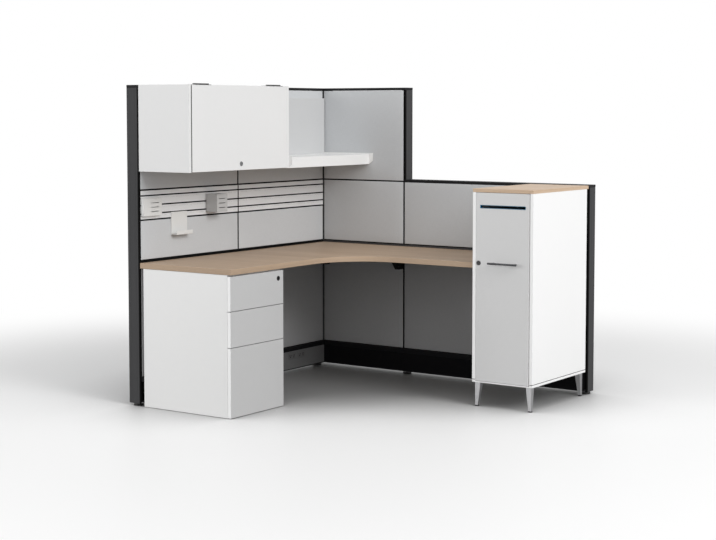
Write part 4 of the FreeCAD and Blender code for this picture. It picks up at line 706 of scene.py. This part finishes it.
def trimStrip(name, low, high):
    # Section in plan: a bar with two rounded corners, whose outer face, towards +x or -y, has shallow
    # cosine-shaped grooves; carried up from low to high.
    size = high - low
    thin = int(np.argmin(size[:2]))
    wide = 1 - thin
    acrossGroove = np.linspace(-0.5, 0.5, trimLook["grooveSteps"]) * trimLook["grooveWide"] / size[wide]
    t = np.unique(np.concatenate([np.linspace(0, 1, trimLook["steps"])]
                                 + [share + acrossGroove for share in trimLook["grooveShares"]]))
    edge = np.clip(np.minimum(t, 1 - t) * size[wide] / trimLook["corner"], 0, 1)
    depth = trimLook["corner"] * (1 - np.sqrt(1 - (1 - edge) ** 2))
    for share in trimLook["grooveShares"]:
        away = np.clip(np.abs(t - share) * size[wide] / (trimLook["grooveWide"] / 2), 0, 1)
        depth += trimLook["grooveDeep"] * (0.5 + 0.5 * np.cos(math.pi * away))
    outer, back = (high[0] - depth, low[0]) if thin == 0 else (low[1] + depth, high[1])
    section = np.concatenate([np.stack([low[wide] + t * size[wide], outer], -1),
                              [(high[wide], back), (low[wide], back)]])
    return extruded(name, section, (wide, thin), (low[2], high[2]))


# the front trim, which is thin along y, laps over part of its gasket; lapped is the corner that moves
for node, label, strip, lapped in (("edge_gaskets", "edge_gasket_", gasketStrip, 0),
                                   ("end_trims", "end_trim_", trimStrip, 1)):
    for number, corners in enumerate(solidBoxes(node)):
        size = corners[1] - corners[0]
        if size[1] < size[0]:
            corners[lapped][0] += trimLook["overGasket"]
        piece = strip(label + str(number), *corners)
        settle(piece, node, [finishes[slotOf[node]]])
        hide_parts(node)
print("end trims done")

# seals that close the gaps beside the overhead door; the near one has a lip over the board's edge and is
# black, painted shade in its gap
sealLook = {"clear": 0.0002, "behind": 0.0003, "deep": 0.011, "doorGap": 0.004, "lip": 0.0025,
            "lipThick": 0.0005, "lipClear": 0.0001, "lipCorner": (0.0002, 0.0004), "lipEnd": 0.0012}
doorLow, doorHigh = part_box("overhead_door")
caseLow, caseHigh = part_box("overhead_case")
boardThick = doorLow[1] - caseLow[1] - sealLook["doorGap"]
sealBack, sealFront = doorHigh[0] - sealLook["deep"], doorHigh[0] - sealLook["behind"]


def nearSeal():
    # a strip between board and door, with a thin lip in front of it that reaches past the board's edge
    board, door = caseLow[1] + boardThick + sealLook["clear"], doorLow[1] - sealLook["clear"]
    lipBack = caseHigh[0] + sealLook["lipClear"]
    lipFront, lipSide = lipBack + sealLook["lipThick"], caseLow[1] + boardThick - sealLook["lip"]
    inwards, along = sealLook["lipCorner"]
    section = [(sealBack, board), (lipBack, board), (lipBack, lipSide), (lipFront - inwards, lipSide),
               (lipFront, lipSide + along), (lipFront, doorLow[1] - sealLook["lipEnd"]), (sealFront, door),
               (sealBack, door)]
    return extruded("door_shade_seal_near", section, (0, 1), (doorLow[2], doorHigh[2]))


settle(nearSeal(), "overhead_case", [finishes["gasket_black"]])
settle(roundedBar("door_seal_far", (sealBack, doorHigh[1] + sealLook["clear"], doorLow[2]),
                  (sealFront, caseHigh[1] - boardThick - sealLook["clear"], doorHigh[2])),
       "overhead_case", [overheadShadedWhite])

# seals in the 2 mm gap behind the worktop, up to the reveal under the desk-height tiles
deskSealLook = {"clear": 0.0002, "above": 0.0024, "low": 0.006, "short": 0.001}
deskLow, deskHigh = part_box("worktop")
deskSealLow = deskHigh[2] - deskSealLook["low"]
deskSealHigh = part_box("under_desk_tiles")[1][2] + deskSealLook["above"]
clear = deskSealLook["clear"]
settle(roundedBar("desk_seal_left", (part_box("slat_rail_left_rear")[1][0] + clear, deskLow[1], deskSealLow),
                  (deskLow[0] - clear, deskHigh[1] - deskSealLook["short"], deskSealHigh)),
       "edge_gaskets", [finishes["gasket_black"]])
settle(roundedBar("desk_seal_back", (deskLow[0], deskHigh[1] + clear, deskSealLow),
                  (deskHigh[0], postLow[1] - clear, deskSealHigh)),
       "end_trims", [finishes["trim_grey"]])
print("seals done")

# blade and earth slots in the sockets: dark plugs that stand just proud of each socket's floor, painted
# shade in place of holes
outletLook = {"socketApart": 0.032, "bladeApart": 0.013, "bladeWide": 0.0032, "bladeHigh": 0.0095,
              "bladeUp": 0.0035, "earth": 0.0065, "earthDown": 0.0065, "deep": 0.002, "proud": 0.0001,
              "steps": 16, "turn": 0.1}
socketFloor = np.unique(np.round(weldedSolids("power_outlets")[0][:, 0], 5))[-2]    # next behind the front


def slotPlug(name, middle, wide, high):
    # Outline: middle + half size * sign(c) * |c|^(1/2), with c = (cos a, sin a), a rounded oblong; carried
    # along x.
    a = np.linspace(0, 2 * math.pi, outletLook["steps"], endpoint=False) + outletLook["turn"]
    c = np.stack([np.cos(a), np.sin(a)], -1)
    outline = np.array(middle) + np.array([wide, high]) / 2 * np.sign(c) * np.sqrt(np.abs(c))
    ends = socketFloor - outletLook["deep"], socketFloor + outletLook["proud"]
    plug = extruded(name, outline, (1, 2), ends)
    settle(plug, "power_outlets", [finishes["gasket_black"]])


def socketPlugs(label, y, z):
    for number, across in enumerate((-0.5, 0.5)):
        middle = y + across * outletLook["bladeApart"], z + outletLook["bladeUp"]
        name = "blade_slot_" + str(number) + label
        slotPlug(name, middle, outletLook["bladeWide"], outletLook["bladeHigh"])
    earth = outletLook["earth"]
    slotPlug("earth_slot" + label, (y, z - outletLook["earthDown"]), earth, earth)


for unit, (low, high) in enumerate(solidBoxes("power_outlets")):
    middle = (low + high) / 2
    for side, word in ((-0.5, "_near"), (0.5, "_far")):
        socketPlugs("_" + str(unit) + word, middle[1] + side * outletLook["socketApart"], middle[2])
print("outlets done")


# floor, light and camera
def seenDirectly(tree):
    # 1 for rays from the eye, off a gloss or through glass, 0 for those that only carry light
    path = addNode(tree, "ShaderNodeLightPath").outputs
    either = maths(tree, "ADD", path["Is Camera Ray"], path["Is Glossy Ray"])
    return maths(tree, "ADD", either, path["Is Transmission Ray"], clamp=True)


floorLook = {"half": 60.0, "seen": 0.95, "shut": 0.26, "lighting": 0.32, "fadeFrom": 1.9, "fadeTo": 4.5,
             "roomReach": 1.2, "roomSamples": 16, "openFrom": 0.28, "openTo": 0.90, "roughness": 0.5,
             "specular": 0.3}


def floorFinish():
    # To the eye the floor is darker where the object shuts it in, a painted shadow from ambient occlusion,
    # and turns to plain white with distance. What it throws back on the object has one even tone.
    look = floorLook
    material, tree, surface = finish("studioFloor", grey(0.7), look["roughness"],
                                     {"Specular IOR Level": look["specular"]})
    away = vectorMaths(tree, "LENGTH", {0: stretched(tree, objectPlace(tree), (1, 1, 0))}, "Value")
    far = {"Value": away, "From Min": look["fadeFrom"], "From Max": look["fadeTo"]}
    fade = addNode(tree, "ShaderNodeMapRange", far, interpolation_type="SMOOTHERSTEP").outputs[0]
    # ambient occlusion sets how dark the painted shadow on the floor is
    room = addNode(tree, "ShaderNodeAmbientOcclusion", {"Distance": look["roomReach"]},
                   samples=look["roomSamples"]).outputs["AO"]
    tone = band(tree, room, look["openFrom"], look["openTo"], look["shut"], look["seen"])
    toEye = addNode(tree, "ShaderNodeLightPath").outputs["Is Camera Ray"]
    link(tree, surface.inputs, {"Base Color": blended(tree, toEye, grey(look["lighting"]), tone)})
    white = addNode(tree, "ShaderNodeEmission", {"Color": (1, 1, 1, 1), "Strength": 1.0})
    share = maths(tree, "MULTIPLY", fade, seenDirectly(tree))
    both = addNode(tree, "ShaderNodeMixShader", {0: share, 1: surface.outputs[0], 2: white.outputs[0]})
    link(tree, tree.nodes["Material Output"].inputs, {"Surface": both.outputs[0]})
    return material


floorMesh = bpy.data.meshes.new("studio_floor")
half = floorLook["half"]
floorCorners = [(-half, -half, 0), (half, -half, 0), (half, half, 0), (-half, half, 0)]
floorMesh.from_pydata(floorCorners, [], [(0, 1, 2, 3)])
floorMesh.materials.append(floorFinish())
floor = bpy.data.objects.new("studio_floor", floorMesh)
bpy.context.scene.collection.objects.link(floor)

skyLook = {"toward": (0.75, -0.45, 0.48), "even": 0.25, "lobe": 1.0, "power": 1.2, "horizon": (-0.02, 0.03)}


def studioRoom():
    # The room's light is an even glow plus a broad lobe around one direction, none from below the horizon.
    # Seen directly or in a gloss, the room is plain white.
    world = bpy.data.worlds.new("studioRoom")
    world.use_nodes = True
    tree = world.node_tree
    tree.nodes.clear()
    ray = addNode(tree, "ShaderNodeTexCoord").outputs["Generated"]
    upward = addNode(tree, "ShaderNodeSeparateXYZ", {0: ray}).outputs[2]
    aligned = vectorMaths(tree, "DOT_PRODUCT", {0: ray, 1: Vector(skyLook["toward"]).normalized()}, "Value")
    lobe = maths(tree, "POWER", maths(tree, "MAXIMUM", aligned, 0.0), skyLook["power"])
    level = maths(tree, "ADD", maths(tree, "MULTIPLY", lobe, skyLook["lobe"]), skyLook["even"])
    level = maths(tree, "MULTIPLY", level, band(tree, upward, *skyLook["horizon"]))
    lit, white = [addNode(tree, "ShaderNodeBackground", {"Color": (1, 1, 1, 1), "Strength": strength})
                  for strength in (level, 1.0)]
    share = seenDirectly(tree)
    both = addNode(tree, "ShaderNodeMixShader", {0: share, 1: lit.outputs[0], 2: white.outputs[0]})
    addNode(tree, "ShaderNodeOutputWorld", {"Surface": both.outputs[0]})
    return world


bpy.context.scene.world = studioRoom()

lampLooks = {
    "keySoftbox": {"from": (8.8, -1.8, 5.6), "size": 5.0, "power": 460.0, "aim": (0.0, 0.0, 0.7)},
    "fillSoftbox": {"from": (-4.0, -6.8, 2.6), "size": 4.0, "power": 170.0, "aim": (0.0, -0.4, 0.8)},
}
for name, look in lampLooks.items():
    lamp = bpy.data.lights.new(name, "AREA")
    lamp.shape = "DISK"
    lamp.size = look["size"]
    lamp.energy = look["power"]
    softbox = bpy.data.objects.new(name, lamp)
    bpy.context.scene.collection.objects.link(softbox)
    softbox.location = look["from"]
    softbox.rotation_euler = (Vector(look["aim"]) - softbox.location).to_track_quat("-Z", "Y").to_euler()

cameraLook = {"place": (4.6148, -6.7446, 1.5233), "azimuth": 34.6896, "pitch": -4.0268, "lens": 78.582,
              "sensor": 36.0, "shift": -0.07, "farClip": 400.0}
lens = bpy.data.cameras.new("camera")
lens.lens = cameraLook["lens"]
lens.sensor_width = cameraLook["sensor"]
lens.shift_y = cameraLook["shift"]
lens.clip_end = cameraLook["farClip"]
eye = bpy.data.objects.new("camera", lens)
bpy.context.scene.collection.objects.link(eye)
eye.location = cameraLook["place"]
eye.rotation_euler = (math.radians(90 + cameraLook["pitch"]), 0, math.radians(cameraLook["azimuth"]))
bpy.context.scene.camera = eye
bpy.context.scene.view_settings.view_transform = "Standard"
print("floor, light and camera done")
